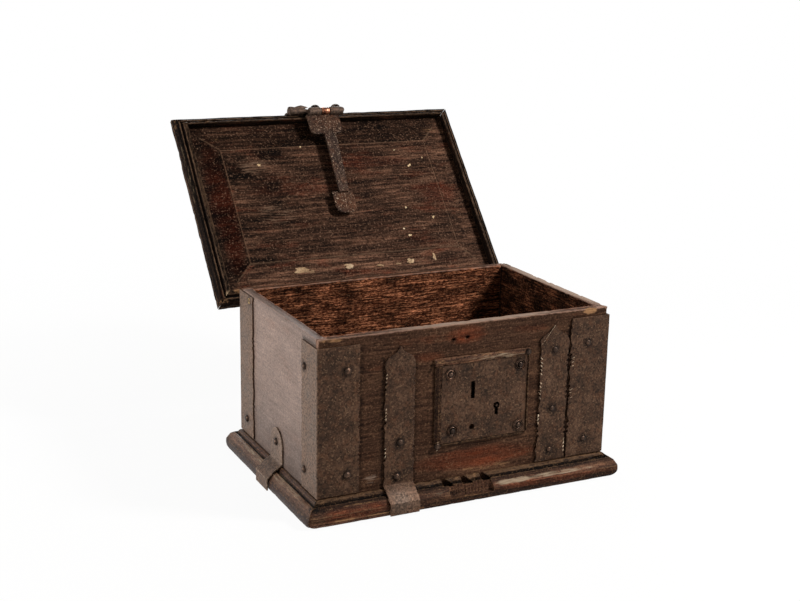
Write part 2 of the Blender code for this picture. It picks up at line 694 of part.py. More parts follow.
# Lid hinges. The back leaf is cranked out to the axis and has a ledge that stops the lid.
axis_up = BODY_HEIGHT - HINGE_DROP
axis = (HINGE_OUT, axis_up)
crank_up = BODY_HEIGHT - CRANK_DROP
stop_down = Vector((math.cos(LID_OPEN), -math.sin(LID_OPEN)))
stop_out = Vector((math.sin(LID_OPEN), math.cos(LID_OPEN)))
middle_half = HINGE_WIDTH / 6
nose_out = LID_PLAY + LID_MOULDING_OUT
leaf_in = HINGE_OUT + KNUCKLE - LEAF
for hand, sign in (("left", 1), ("right", -1)):
    middle = sign * (half_length - HINGE_IN)
    near, far = middle - HINGE_WIDTH / 2, middle + HINGE_WIDTH / 2
    clear = circle(axis, KNUCKLE + SIDE_PLAY * 2, ROUND_SIDE_COUNT)
    bore = circle(axis, HINGE_PIN + PIN_PLAY, ROUND_SIDE_COUNT)
    knuckle = circle(axis, KNUCKLE, ROUND_SIDE_COUNT)

    back_path = [axis, (FIT, crank_up), (FIT, BODY_HEIGHT - BACK_LEAF_DROP)]
    back_leaf = bar("hinge_back_leaf_" + hand, "back", thicken(back_path, LEAF), near, far)
    ledge = []
    for along, down in ((0, 0), (1, 0), (1, 1), (0, 1)):
        reach = stop_out * (LEDGE_LENGTH * along - LEAF)
        depth = stop_down * (KNUCKLE + FIT + LEDGE_THICK * down)
        ledge.append(tuple(Vector(axis) + reach + depth))
    join(back_leaf, bar("tool", "back", ledge, near, far), bar("tool", "back", knuckle, near, far))
    cut(
        back_leaf,
        bar("tool", "back", clear, middle - middle_half - SIDE_PLAY, middle + middle_half + SIDE_PLAY),
        bar("tool", "back", bore, near - BOARD, far + BOARD),
    )
    finish(back_leaf, OLD_IRON)
    pin = bar("hinge_pin_" + hand, "back", circle(axis, HINGE_PIN, ROUND_SIDE_COUNT), near, far)
    finish(pin, OLD_IRON)

    lid_path = [
        (-LID_LEAF_REACH, lid_top + FIT),
        (leaf_in, lid_top + FIT),
        (leaf_in, axis_up),
    ]
    lid_leaf = bar("hinge_lid_leaf_" + hand, "back", thicken(lid_path, LEAF), near, far)
    join(lid_leaf, bar("tool", "back", knuckle, middle - middle_half, middle + middle_half))
    cut(
        lid_leaf,
        bar("tool", "back", clear, near - BOARD, middle - middle_half),
        bar("tool", "back", clear, middle + middle_half, far + BOARD),
        bar("tool", "back", bore, near - BOARD, far + BOARD),
    )
    finish(lid_leaf, OLD_IRON, lid_axis, lid_pivot)

# Hasp hinge: a strap laps over the front moulding and ends in the middle knuckle
axis_up = BODY_HEIGHT - HASP_DROP
axis = (HASP_OUT, axis_up)
knuckle = circle(axis, HASP_KNUCKLE, ROUND_SIDE_COUNT)
clear = circle(axis, HASP_KNUCKLE + SIDE_PLAY * 2, ROUND_SIDE_COUNT)
bore = circle(axis, HASP_PIN + PIN_PLAY, ROUND_SIDE_COUNT)
strap_path = [
    (-HASP_STRAP_REACH, lid_top + FIT),
    (nose_out + SIDE_PLAY, lid_top + FIT),
    (nose_out + SIDE_PLAY, lid_top - SLOPE_FOOT - FIT),
    (HASP_OUT + HASP_KNUCKLE - LEAF, axis_up + HASP_KNUCKLE / 2),
    (HASP_OUT + HASP_KNUCKLE - LEAF, axis_up),
]
hasp_strap = bar("hasp_strap", "front", thicken(strap_path, LEAF), HASP_STRAP_LEFT, HASP_STRAP_RIGHT)
for start, end in (
    (HASP_STRAP_LEFT - BOARD, MIDDLE_LEFT),
    (MIDDLE_RIGHT, HASP_STRAP_RIGHT + BOARD),
):
    below = rectangle(start, axis_up - BOARD, end, axis_up + HASP_STRAP_NECK)
    cut(hasp_strap, sheet("tool", "front", below, 0, 2 * MOULDING_OUT))
join(hasp_strap, bar("tool", "front", knuckle, MIDDLE_LEFT, MIDDLE_RIGHT))
cut(hasp_strap, bar("tool", "front", bore, HASP_STRAP_LEFT, HASP_STRAP_RIGHT))
finish(hasp_strap, OLD_IRON, lid_axis, lid_pivot)
hasp_pin = bar("hasp_pin", "front", circle(axis, HASP_PIN, ROUND_SIDE_COUNT), BARREL_LEFT, BARREL_RIGHT)
finish(hasp_pin, BRIGHT_IRON, hasp_axis, hasp_pivot)

# The hasp hangs below its axis: a broad leaf, a thick arm and a thin foot
leaf_back = HASP_OUT - HASP_KNUCKLE
leaf_foot = axis_up - LEAF_LENGTH
leaf_outline = [(LEAF_RIGHT, axis_up), (LEAF_LEFT, axis_up)]
leaf_outline += arc((LEAF_LEFT + LEAF_CORNER, leaf_foot + LEAF_CORNER), LEAF_CORNER, 180, 270, 3)
leaf_outline += arc((LEAF_RIGHT - LEAF_CORNER, leaf_foot + LEAF_CORNER), LEAF_CORNER, 270, 360, 3)
hasp = sheet("hasp", "front", leaf_outline, leaf_back, leaf_back + HASP_LEAF)
arm_front = leaf_back + HASP_LEAF + FIT
arm_back = arm_front - ARM
arm_outline = [
    (ARM_TOP_X - ARM_TOP_WIDTH / 2, leaf_foot + LEAF_CORNER / 2),
    (ARM_END_X - ARM_END_WIDTH / 2, axis_up - ARM_END),
    (ARM_END_X + ARM_END_WIDTH / 2, axis_up - ARM_END),
    (ARM_TOP_X + ARM_TOP_WIDTH / 2, leaf_foot + LEAF_CORNER / 2),
]
foot_low = axis_up - FOOT_END
foot_left = FOOT_X - FOOT_WIDTH / 2
foot_right = FOOT_X + FOOT_WIDTH / 2
foot_outline = [(foot_right, axis_up - FOOT_START), (foot_left, axis_up - FOOT_START)]
foot_outline += arc((foot_left + FOOT_CORNER, foot_low + FOOT_CORNER), FOOT_CORNER, 180, 270, 3)
foot_outline += arc((foot_right - FOOT_CORNER, foot_low + FOOT_CORNER), FOOT_CORNER, 270, 360, 3)
join(
    hasp,
    sheet("tool", "front", arm_outline, arm_back, arm_front),
    sheet("tool", "front", foot_outline, arm_back - IRON + FOOT_OVERLAP, arm_back + FOOT_OVERLAP),
    bar("tool", "front", knuckle, BARREL_LEFT, MIDDLE_LEFT - SIDE_PLAY),
    bar("tool", "front", knuckle, MIDDLE_RIGHT + SIDE_PLAY, BARREL_RIGHT),
)
above = rectangle(LEAF_LEFT - BOARD, axis_up - HASP_KNUCKLE, BARREL_LEFT, axis_up + BOARD)
cut(
    hasp,
    sheet("tool", "front", above, 0, BOARD),
    bar("tool", "front", clear, MIDDLE_LEFT - SIDE_PLAY, MIDDLE_RIGHT + SIDE_PLAY),
    bar("tool", "front", bore, LEAF_LEFT - BOARD, BARREL_RIGHT + BOARD),
)
finish(hasp, OLD_IRON, hasp_axis, hasp_pivot)
staple_low = SLOT_Z - STAPLE_HEIGHT / 2
staple_section = rectangle(-STAPLE_TIP, staple_low, arm_back - FIT, staple_low + STAPLE_HEIGHT)
staple_left = STAPLE_X - STAPLE_WIDTH / 2
staple = bar("hasp_staple", "front", staple_section, staple_left, staple_left + STAPLE_WIDTH)
eye = rectangle(
    -STAPLE_TIP + STAPLE_END, SLOT_Z - STAPLE_EYE / 2, -BOLT_FRONT + FIT, SLOT_Z + STAPLE_EYE / 2
)
cut(staple, bar("tool", "front", eye, STAPLE_X - BOARD, STAPLE_X + BOARD))
finish(staple, OLD_IRON, hasp_axis, hasp_pivot)
stud = hole("front", STAPLE_X, STUD_Z, STUD, -STUD_TIP, arm_back - FIT)
stud.name = "hasp_locating_stud"
finish(stud, OLD_IRON, hasp_axis, hasp_pivot)

# Heights above are measured from the top of the foot's plain band, so the whole casket goes up by it
for piece in bpy.data.objects:
    if not piece.parent:
        piece.location.z += FOOT_BAND
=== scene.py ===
import json
import math

import bmesh
import bpy
from mathutils import Matrix, Vector, kdtree, noise

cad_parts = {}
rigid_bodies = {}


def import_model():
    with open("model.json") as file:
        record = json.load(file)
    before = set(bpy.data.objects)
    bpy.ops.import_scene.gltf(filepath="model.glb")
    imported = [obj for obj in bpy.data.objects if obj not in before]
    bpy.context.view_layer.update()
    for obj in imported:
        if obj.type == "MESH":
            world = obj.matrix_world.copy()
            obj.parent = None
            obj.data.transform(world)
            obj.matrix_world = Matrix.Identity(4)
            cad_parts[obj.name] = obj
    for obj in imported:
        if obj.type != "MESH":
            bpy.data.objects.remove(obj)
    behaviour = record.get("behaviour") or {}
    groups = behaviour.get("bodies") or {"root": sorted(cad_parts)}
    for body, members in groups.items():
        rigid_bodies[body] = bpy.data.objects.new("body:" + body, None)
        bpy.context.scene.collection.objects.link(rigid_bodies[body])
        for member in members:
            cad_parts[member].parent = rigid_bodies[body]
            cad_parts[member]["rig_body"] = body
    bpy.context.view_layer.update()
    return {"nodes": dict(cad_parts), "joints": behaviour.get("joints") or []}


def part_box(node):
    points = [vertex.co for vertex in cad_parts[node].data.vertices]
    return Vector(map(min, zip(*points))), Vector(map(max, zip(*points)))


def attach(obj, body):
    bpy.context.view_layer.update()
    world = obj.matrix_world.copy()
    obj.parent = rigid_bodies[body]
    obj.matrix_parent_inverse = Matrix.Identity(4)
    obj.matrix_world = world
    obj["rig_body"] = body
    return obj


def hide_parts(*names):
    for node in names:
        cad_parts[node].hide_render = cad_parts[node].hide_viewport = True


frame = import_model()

mm = 0.001
print("frame loaded:", len(frame["nodes"]), "solids")


def hexColour(code):  # sRGB hex to the linear colour that Blender works in
    parts = [int(code[i:i + 2], 16) / 255 for i in (1, 3, 5)]
    return [p / 12.92 if p <= 0.04045 else ((p + 0.055) / 1.055) ** 2.4 for p in parts] + [1]


def addNode(tree, kind, settings=None, links=None):  # one node, its settings, and what feeds its sockets
    node = tree.nodes.new("ShaderNode" + kind)
    for key, value in (settings or {}).items():
        if key == "stops":
            ramp = node.color_ramp.elements
            while len(ramp) < len(value):
                ramp.new(0.5)
            for stop, (place, code) in zip(ramp, value):
                stop.position, stop.color = place, hexColour(code)
        else:
            setattr(node, key, value)
    for key, value in (links or {}).items():
        if isinstance(value, bpy.types.NodeSocket):
            tree.links.new(value, node.inputs[key])
        else:
            node.inputs[key].default_value = hexColour(value) if isinstance(value, str) else value
    return node


def newFinish(name):  # a material with nothing in it yet
    mat = bpy.data.materials.new(name)
    mat.use_nodes = True
    mat.node_tree.nodes.clear()
    return mat, mat.node_tree


# Camera, set from the corners of the box in the picture
picture = {
    "width": 800,
    "focalPx": 1345.693,
    "sensorMm": 36,
    "place": (-0.7698, -1.5033, 0.6706),
    "azimuth": -26.161,
    "elevation": 14.899,
    "roll": 1.095,
}
camData = bpy.data.cameras.new("picture_camera")
camData.sensor_fit = "HORIZONTAL"
camData.sensor_width = picture["sensorMm"]
camData.lens = picture["focalPx"] * picture["sensorMm"] / picture["width"]
camera = bpy.data.objects.new("picture_camera", camData)
bpy.context.scene.collection.objects.link(camera)
az, el, roll = (math.radians(picture[k]) for k in ("azimuth", "elevation", "roll"))
back = Vector((math.sin(az) * math.cos(el), -math.cos(az) * math.cos(el), math.sin(el)))
level = (-back).cross(Vector((0, 0, 1))).normalized()
upright = level.cross(-back)
right = level * math.cos(roll) + upright * math.sin(roll)
up = upright * math.cos(roll) - level * math.sin(roll)
camera.matrix_world = Matrix.Translation(picture["place"]) @ Matrix((right, up, back)).transposed().to_4x4()
bpy.context.scene.camera = camera
bpy.context.scene.view_settings.view_transform = "Standard"

# Studio: pale floor, white surround, a soft key lamp at the upper right, weaker ones at the left and behind
studio = {
    "surround": 0.16,
    "lamps": {  # watts, size and place of each soft box
        "key": (60, 0.5, (1.35, -1.15, 1.7)),
        "fill": (31, 1.2, (-2.0, 0.35, 0.5)),
        "back": (22, 1.2, (0.5, 2.4, 1.3)),
    },
    "aim": (0, 0, 0.2),
    "floorSize": 6,
    "floorDrop": 0.3 * mm,
    "floorColour": "#f3f1ee",
    "floorWhite": 0.94,
    "fadeFrom": 0.5,
    "fadeTo": 1.4,
}


def seenStraight(tree):  # 1 for rays that show the background itself, 0 for those that only carry light
    path = addNode(tree, "LightPath").outputs
    seen = path["Is Camera Ray"]
    for kind in ("Is Glossy Ray", "Is Transmission Ray"):
        seen = addNode(tree, "Math", {"operation": "MAXIMUM"}, {0: seen, 1: path[kind]}).outputs[0]
    return seen


world = bpy.data.worlds.new("white_surround")
bpy.context.scene.world = world
world.use_nodes = True
tree = world.node_tree
tree.nodes.clear()
lit = addNode(tree, "Background", None, {"Color": "#ffffff", "Strength": studio["surround"]})
shown = addNode(tree, "Background", None, {"Color": "#ffffff", "Strength": 1})
mix = addNode(tree, "MixShader", None, {0: seenStraight(tree), 1: lit.outputs[0], 2: shown.outputs[0]})
addNode(tree, "OutputWorld", None, {"Surface": mix.outputs[0]})
for lampName, (watts, size, place) in studio["lamps"].items():
    lampData = bpy.data.lights.new(lampName + "_softbox", "AREA")
    lampData.shape = "DISK"
    lampData.energy = watts
    lampData.size = size
    lamp = bpy.data.objects.new(lampName + "_softbox", lampData)
    lamp.location = place
    aim = Vector(studio["aim"]) - lamp.location
    lamp.rotation_euler = aim.to_track_quat("-Z", "Y").to_euler()
    bpy.context.scene.collection.objects.link(lamp)

floorMesh = bpy.data.meshes.new("studio_floor")
half = studio["floorSize"] / 2
floorCorners = [(-half, -half, 0), (half, -half, 0), (half, half, 0), (-half, half, 0)]
floorMesh.from_pydata(floorCorners, [], [(0, 1, 2, 3)])
floor = bpy.data.objects.new("studio_floor", floorMesh)
floor.location.z = -studio["floorDrop"]
bpy.context.scene.collection.objects.link(floor)
paper, tree = newFinish("matt_white_paper_roll")  # no gloss, white to the eye, grey only in the shadow
place = addNode(tree, "TexCoord")
far = addNode(tree, "VectorMath", {"operation": "LENGTH"}, {0: place.outputs["Object"]})
fade = addNode(tree, "MapRange", None, {
    "Value": far.outputs["Value"], "From Min": studio["fadeFrom"], "From Max": studio["fadeTo"],
    "To Min": studio["floorWhite"], "To Max": 1})
share = addNode(tree, "Math", {"operation": "MULTIPLY"}, {0: seenStraight(tree), 1: fade.outputs[0]})
matt = addNode(tree, "BsdfDiffuse", None, {"Color": studio["floorColour"]})
glow = addNode(tree, "Emission", None, {"Color": "#ffffff", "Strength": 1})
mix = addNode(tree, "MixShader", None, {0: share.outputs[0], 1: matt.outputs[0], 2: glow.outputs[0]})
addNode(tree, "OutputMaterial", None, {"Surface": mix.outputs[0]})
floorMesh.materials.append(paper)
print("camera, lamps and floor ready")


def laidOn(tree):  # what a mesh carries: wear marks (the pale dust mark is also laid as painted highlight and sheen), nearness of an edge, and its tone as a factor, which carries painted light and shade as well as stains
    marks = addNode(tree, "Attribute", {"attribute_name": "marks"}).outputs
    wear = addNode(tree, "SeparateColor", None, {0: marks["Color"]}).outputs
    laid = dict(zip(("bare", "red", "dust"), wear), inside=marks["Alpha"])
    laid["edge"] = addNode(tree, "Attribute", {"attribute_name": "edge"}).outputs["Fac"]
    tone = addNode(tree, "Attribute", {"attribute_name": "tone"}).outputs["Fac"]
    laid["tone"] = addNode(tree, "Math", {"operation": "ADD"}, {0: tone, 1: 1}).outputs[0]
    return laid


# Works a finish up from a first colour. Sums are a value times a weight, plus another. Ranges are what is
# followed, where it starts and ends, and what it gives there. Coats, in the order they lie, are how each
# covers, where, and its colour or strength. A name stands for the sum or range made under it.
def workUp(mat, look, colour, sums, ranges, coats, gloss):
    tree = mat.node_tree
    made = {}
    for key, parts in sums.items():
        links = {i: made.get(part, part) for i, part in enumerate(parts)}
        made[key] = addNode(tree, "Math", {"operation": "MULTIPLY_ADD"}, links).outputs[0]
    for key, (value, start, end, least, most) in ranges.items():
        made[key] = addNode(tree, "MapRange", None, {
            "Value": made.get(value, value), "From Min": start, "From Max": end, "To Min": least,
            "To Max": most}).outputs[0]
    for blend, cover, paint in coats:
        links = {0: made.get(cover, cover), 6: colour, 7: made.get(paint, paint)}
        colour = addNode(tree, "Mix", {"data_type": "RGBA", "blend_type": blend}, links).outputs[2]
    bump = addNode(tree, "Bump", None, {
        "Strength": look["bump"], "Distance": look["bumpMm"] * mm, "Height": made["height"]})
    sockets = {key: made.get(value, value) for key, value in gloss.items()}
    sockets.update({"Base Color": colour, "Roughness": made["rough"], "Normal": bump.outputs[0]})
    shader = addNode(tree, "BsdfPrincipled", None, sockets)
    addNode(tree, "OutputMaterial", None, {"Surface": shader.outputs[0]})
    return mat


# Oak, hand planed and stained: long fibres, red where the stain is thin, bare wood where it is knocked
def agedOak(name, look, **changes):
    look = dict(look, **changes)
    mat, tree = newFinish(name)
    laid = laidOn(tree)
    place = addNode(tree, "TexCoord").outputs["Object"]
    bend = {"Vector": place, "Scale": 1 / (look["wanderMm"] * mm), "Detail": 2}
    bend = addNode(tree, "TexNoise", None, bend).outputs["Color"]
    place = addNode(tree, "VectorMath", {"operation": "MULTIPLY_ADD"},
                    {0: bend, 1: [look["wanderBy"] * mm] * 3, 2: place}).outputs[0]
    layer = {}
    for key, (along, across) in look["layersMm"].items():
        size = [1 / (across * mm)] * 3
        size[look["grain"]] = 1 / (along * mm)
        stretch = addNode(tree, "Mapping", None, {"Vector": place, "Scale": size})
        layer[key] = addNode(tree, "TexNoise", None, {
            "Vector": stretch.outputs[0], "Scale": 1, "Detail": 6, "Roughness": 0.68}).outputs[0]
    layer["grit"] = addNode(tree, "TexNoise", None, {
        "Vector": place, "Scale": 1 / (look["gritMm"] * mm), "Detail": 3, "Roughness": 0.7}).outputs[0]
    first = addNode(tree, "ValToRGB", {"stops": look["outside"]}, {0: layer["figure"]})
    raw = addNode(tree, "Math", {"operation": "MULTIPLY"}, {0: layer["fine"], 1: 0.5})
    raw = addNode(tree, "Math", {"operation": "MULTIPLY_ADD"}, {0: layer["fibre"], 1: 0.5, 2: raw.outputs[0]})
    inside = addNode(tree, "ValToRGB", {"stops": look["inside"]}, {0: raw.outputs[0]})
    bare = addNode(tree, "Mix", {"data_type": "RGBA"},
                   {0: layer["fibre"], 6: look["bareDark"], 7: look["bare"]})
    thin = addNode(tree, "MapRange", None, {
        "Value": layer["patch"], "From Min": 0.5, "From Max": 0.7, "To Max": look["redShare"]})
    scratchFrom, gritFrom, rubFrom = (look[key] for key in ("scratchFrom", "gritFrom", "rubFrom"))
    sums = {
        "thin": (thin.outputs[0], 1, laid["red"]),
        "red": ("thin", layer["figure"], 0),
        "dust": (laid["dust"], 0.55, layer["scratch"]),
        "rub": (laid["edge"], 1, layer["chip"]),
        "knock": (laid["bare"], 1, layer["chip"]),
        "height": (layer["fine"], 0.5, layer["fibre"]),
    }
    ranges = {
        "red": ("red", 0.1, 0.6, 0, 1),
        "fibre": (layer["fibre"], 0.34, 0.66, look["fibreDark"], look["fibreLight"]),
        "fine": (layer["fine"], 0.34, 0.66, look["fineDark"], look["fineLight"]),
        "scratch": (layer["scratch"], scratchFrom, scratchFrom + 0.14, 0, look["scratchShare"]),
        "pore": (layer["grit"], 0.34, 0.46, look["poreDark"], 1),
        "grit": (layer["grit"], gritFrom, gritFrom + 0.12, 0, look["gritShare"]),
        "dust": ("dust", 0.88, 1.12, 0, 1),
        "rub": ("rub", rubFrom, rubFrom + 0.4, 0, look["rubShare"]),
        "knock": ("knock", 1.0, 1.25, 0, 1),
        "rough": (layer["patch"], 0.3, 0.7, *look["rough"]),
    }
    coats = (
        ("MIX", laid["inside"], inside.outputs[0]), ("MIX", "red", look["red"]), ("MULTIPLY", 1.0, "fibre"),
        ("MULTIPLY", 1.0, "fine"), ("MULTIPLY", 1.0, laid["tone"]), ("MIX", "scratch", look["scratch"]),
        ("MULTIPLY", 1.0, "pore"), ("MIX", "grit", look["grit"]), ("MIX", "dust", look["dust"]),
        ("MIX", "rub", look["rubbed"]), ("MIX", "knock", bare.outputs[2]),
    )
    gloss = {"IOR": 1.5, "Specular IOR Level": look["specular"]}
    if look["insideSpecular"] is not None:  # the boards are duller inside, the rest has one gloss
        ranges["sheen"] = (laid["inside"], 0, 1, look["specular"], look["insideSpecular"])
        gloss["Specular IOR Level"] = "sheen"
    return workUp(mat, look, first.outputs[0], sums, ranges, coats, gloss)


# Fibres of a real board are under a millimetre wide: they are drawn at 2 mm, the least the picture can show
oakLayersMm = {  # along the grain and across it
    "figure": (90, 5), "fibre": (34, 2.0), "fine": (4.5, 1.5), "patch": (80, 22), "scratch": (20, 1.9),
    "chip": (7, 3.2),
}
boardLook = {
    "grain": 0, "layersMm": oakLayersMm, "wanderMm": 90, "wanderBy": 8,
    "outside": [(0.32, "#2a1910"), (0.5, "#402b1f"), (0.68, "#543b2b")],
    "inside": [(0.4, "#0c0401"), (0.5, "#4c291a"), (0.61, "#aa6d4c")],
    "red": "#5e2d1a", "redShare": 0.45, "fibreDark": 0.62, "fibreLight": 1.32, "fineDark": 0.6,
    "fineLight": 1.4, "scratch": "#7d5940", "scratchFrom": 0.64, "scratchShare": 0.5, "dust": "#8f7969",
    "rubbed": "#9a7866", "rubFrom": 1.0, "rubShare": 0.8, "bare": "#b0875f", "bareDark": "#5c3a26",
    "grit": "#84634a", "gritMm": 2.6, "gritFrom": 0.57, "gritShare": 0.45, "poreDark": 0.4,
    "rough": (0.5, 0.72), "bump": 0.7, "bumpMm": 0.8, "specular": 0.04, "insideSpecular": 0.02,
}
stainedOakPlaned = agedOak("stained_oak_hand_planed", boardLook)  # dark and dull, streaked along the grain
endOakPaintedSheen = agedOak(  # the left end: smoother, with a soft sheen; its paler colour is a painted sheen
    "stained_oak_end_painted_sheen", boardLook, grain=1, specular=0.2, rough=(0.42, 0.56), bump=0.4, redShare=0.5,
    red="#86604f", outside=[(0.3, "#756157"), (0.5, "#816c61"), (0.7, "#8d776b")], fibreDark=0.92,
    fibreLight=1.08, fineDark=0.7, fineLight=1.3, scratchShare=0.25, scratch="#5f4a3e", rubbed="#8f7568",
    grit="#b39d8e", gritShare=0.35, poreDark=0.6)
plainOakEnd = agedOak("stained_oak_planed_end", boardLook, grain=1, specular=0.08)  # the same, across the end
mouldingLook = dict(  # run with a moulding plane: dark hollows, rounds rubbed brown
    boardLook, outside=[(0.32, "#1a0f0a"), (0.5, "#38241a"), (0.68, "#533929")], specular=0.06, bump=0.8,
    fibreDark=0.4, fineDark=0.5, fineLight=1.5, poreDark=0.3, redShare=0.5, rubFrom=1.2, rubShare=0.4,
    rubbed="#a17a58", dust="#9a8770", grit="#8a6a4c", gritMm=2.2, insideSpecular=None)
runMouldingOak = agedOak("stained_oak_run_moulding", mouldingLook)
runMouldingOakSidePaintedSheen = agedOak(  # the end mouldings: smoother and glossier, their paler colour a painted sheen
    "stained_oak_run_moulding_painted_sheen", mouldingLook, grain=1, specular=0.15, rough=(0.4, 0.55), red="#52291b",
    outside=[(0.32, "#402c22"), (0.5, "#573f32"), (0.68, "#6d5242")], fibreDark=0.7, fibreLight=1.2)
lidRimLook = dict(  # nearly black, brown only on the reeds
    mouldingLook, outside=[(0.32, "#050302"), (0.5, "#150d09"), (0.68, "#2e2017")], specular=0.03,
    rubShare=0.5, rubFrom=1.1, rubbed="#876850", fibreDark=0.3, grit="#6a5641", gritFrom=0.6, dust="#8f7a60")
lidRimOak = agedOak("stained_oak_lid_rim", lidRimLook)
lidRimOakSide = agedOak("stained_oak_lid_rim_across", lidRimLook, grain=1)
lidPanelOak = agedOak(  # open grain, deep pores, pale scratches along the fibres
    "stained_oak_fielded_panel", boardLook, outside=[(0.35, "#100805"), (0.5, "#39261c"), (0.66, "#614434")],
    redShare=0.8, red="#4f2316", dust="#7d6350", rubbed="#6f5643", rubFrom=0.85, rubShare=0.45, specular=0.02,
    fibreDark=0.36, fibreLight=1.55, scratchFrom=0.61, scratch="#86583f", grit="#97745d", gritShare=0.55,
    poreDark=0.12, insideSpecular=None)
print("oak ready")


# Wrought iron, hammered and left to brown: mottled oxide, tan specks of wax and dust, edges rubbed bright
def brownedIron(name, look, **changes):
    look = dict(look, **changes)
    mat, tree = newFinish(name)
    laid = laidOn(tree)
    place = addNode(tree, "TexCoord").outputs["Object"]
    layer = {}
    for key, size in look["layersMm"].items():
        layer[key] = addNode(tree, "TexNoise", None, {
            "Vector": place, "Scale": 1 / (size * mm), "Detail": 4, "Roughness": 0.6}).outputs[0]
    rust = addNode(tree, "MapRange", None, {
        "Value": layer["rust"], "From Min": 0.5, "From Max": 0.68, "To Max": look["rustShare"]})
    rust = addNode(tree, "Math", {"operation": "ADD", "use_clamp": True},
                   {0: rust.outputs[0], 1: laid["red"]})
    first = addNode(tree, "ValToRGB", {"stops": look["oxide"]}, {0: layer["cloud"]})
    sums = {
        "rub": (laid["edge"], 1, layer["rust"]),
        "nick": (laid["bare"], 1, layer["speck"]),
        "dust": (laid["dust"], layer["speck"], 0),
        "height": (layer["pit"], 0.8, layer["speck"]),
    }
    ranges = {
        "pit": (layer["pit"], 0.3, 0.6, look["pitDark"], 1.25),
        "speck": (layer["speck"], 0.57, 0.7, 0, look["speckShare"]),
        "rub": ("rub", look["rubFrom"], look["rubFrom"] + 0.35, 0, look["rubShare"]),
        "nick": ("nick", 1.0, 1.2, 0, 1),
        "rough": (layer["cloud"], 0.3, 0.7, *look["rough"]),
    }
    coats = (
        ("MIX", rust.outputs[0], look["rust"]), ("MIX", "dust", look["dust"]), ("MULTIPLY", 1.0, "pit"),
        ("MULTIPLY", 1.0, laid["tone"]), ("MIX", "speck", look["speck"]), ("MIX", "rub", look["rubbed"]),
        ("MIX", "nick", look["nick"]),
    )
    gloss = {"Metallic": look["metallic"], "Specular IOR Level": look["specular"]}
    return workUp(mat, look, first.outputs[0], sums, ranges, coats, gloss)


# The specks are finer in life: at 2 mm they are as small as the picture can show
ironLayersMm = {"cloud": 34, "rust": 12, "speck": 2.2, "pit": 2.8}
plateLook = {
    "layersMm": ironLayersMm,
    "oxide": [(0.32, "#312218"), (0.5, "#443023"), (0.68, "#563f30")],
    "rust": "#523422", "rustShare": 0.5, "speck": "#917156", "speckShare": 0.5, "pitDark": 0.25,
    "rubbed": "#6d5848", "rubFrom": 1.25, "rubShare": 0.6, "nick": "#cfa06c", "dust": "#8d7b6e",
    "rough": (0.5, 0.68), "metallic": 0.55, "bump": 0.9, "bumpMm": 0.6, "specular": 0.2,
}
brownedIronPlate = brownedIron("wrought_iron_browned", plateLook)  # brown and half dull, finely speckled
rustedIronLap = brownedIron(  # greyer, with pale rubbed edges
    "wrought_iron_rusted", plateLook, oxide=[(0.32, "#3d3028"), (0.5, "#504036"), (0.68, "#635144")],
    rust="#5c4131", rubbed="#a8927c", rubFrom=1.1)
pittedIronHasp = brownedIron(  # deeply pitted, so nearly black between pale specks
    "wrought_iron_pitted", plateLook, oxide=[(0.32, "#241a15"), (0.5, "#3c2c25"), (0.68, "#523f33")],
    rustShare=0.4, bump=1.0, rust="#68432f", pitDark=0.08, speck="#ad937c", speckShare=0.8, metallic=0.35,
    specular=0.06)
nailLook = dict(  # smooth from the hammer, so each head takes a small highlight
    plateLook, oxide=[(0.3, "#1e1612"), (0.5, "#34271f"), (0.7, "#4c3b31")], rubFrom=0.9, metallic=0.7,
    rough=(0.26, 0.4), speckShare=0.15, rubbed="#8d7765", rubShare=0.2)
hammeredNailIron = brownedIron("wrought_iron_hammered_nail", nailLook)
copperRub = brownedIron(  # red metal, mottled from dark to pink
    "copper_rubbed", nailLook, oxide=[(0.36, "#3a2118"), (0.5, "#7c4a34"), (0.62, "#c58a6c")],
    layersMm=dict(ironLayersMm, cloud=7))
brassOxide = [(0.3, "#7d6236"), (0.5, "#b8945a"), (0.7, "#dcc08a")]
brassTurned = brownedIron("brass_turned", nailLook, oxide=brassOxide)  # a small yellow glint
print("iron ready")

# Heights below are measured from the top of the foot's plain band, as in the solids' source
footBand = 6.5 * mm
standing = Matrix.Translation((0, 0, footBand))

# The lid and its fittings are worked on as if shut, then set at the angle the frame has
joints = {joint["name"]: joint for joint in frame["joints"]}
lidPivot = Vector(joints["lid_swing"]["pos_m"])
lidTurn = math.radians(sum(joints[name]["range_deg"][0] for name in ("lid_swing", "lid_close")))
lidOpen = Matrix.Translation(lidPivot) @ Matrix.Rotation(lidTurn, 4, "X") @ Matrix.Translation(-lidPivot)
lidOpen = lidOpen @ standing

xAxis, yAxis, zAxis = 0, 1, 2
frontFace, underFace = (yAxis, -1), (zAxis, -1)  # a face is named by its axis and the way it looks
wall = (200, 131)  # half the length and width over the boards
hollow = {"half": (190, 120.5), "floor": 4.5}  # points within this are inside the box
frontIron, backIron, endIron = -133.2, 133.2, 202.2  # outer faces of the irons
lidIron = 232.6  # top of the leaves and the hasp strap on the shut lid
hair = 0.001 * mm  # points closer than this are one
farAway = 99  # for a solid that has no sharp edge


def smooth(value):  # eased step from 0 to 1
    value = min(max(value, 0), 1)
    return value * value * (3 - 2 * value)


def blots(along, across, large, small, seeds):  # stains of two sizes over each other, in mm
    wide = noise.noise(Vector((along / large[0], across / large[1], seeds[0])))
    return wide + 0.6 * noise.noise(Vector((along / small[0], across / small[1], seeds[1])))


def outFrom(x, y):  # how far a point stands out from the walls of the box
    return max(abs(x) - wall[0], abs(y) - wall[1])


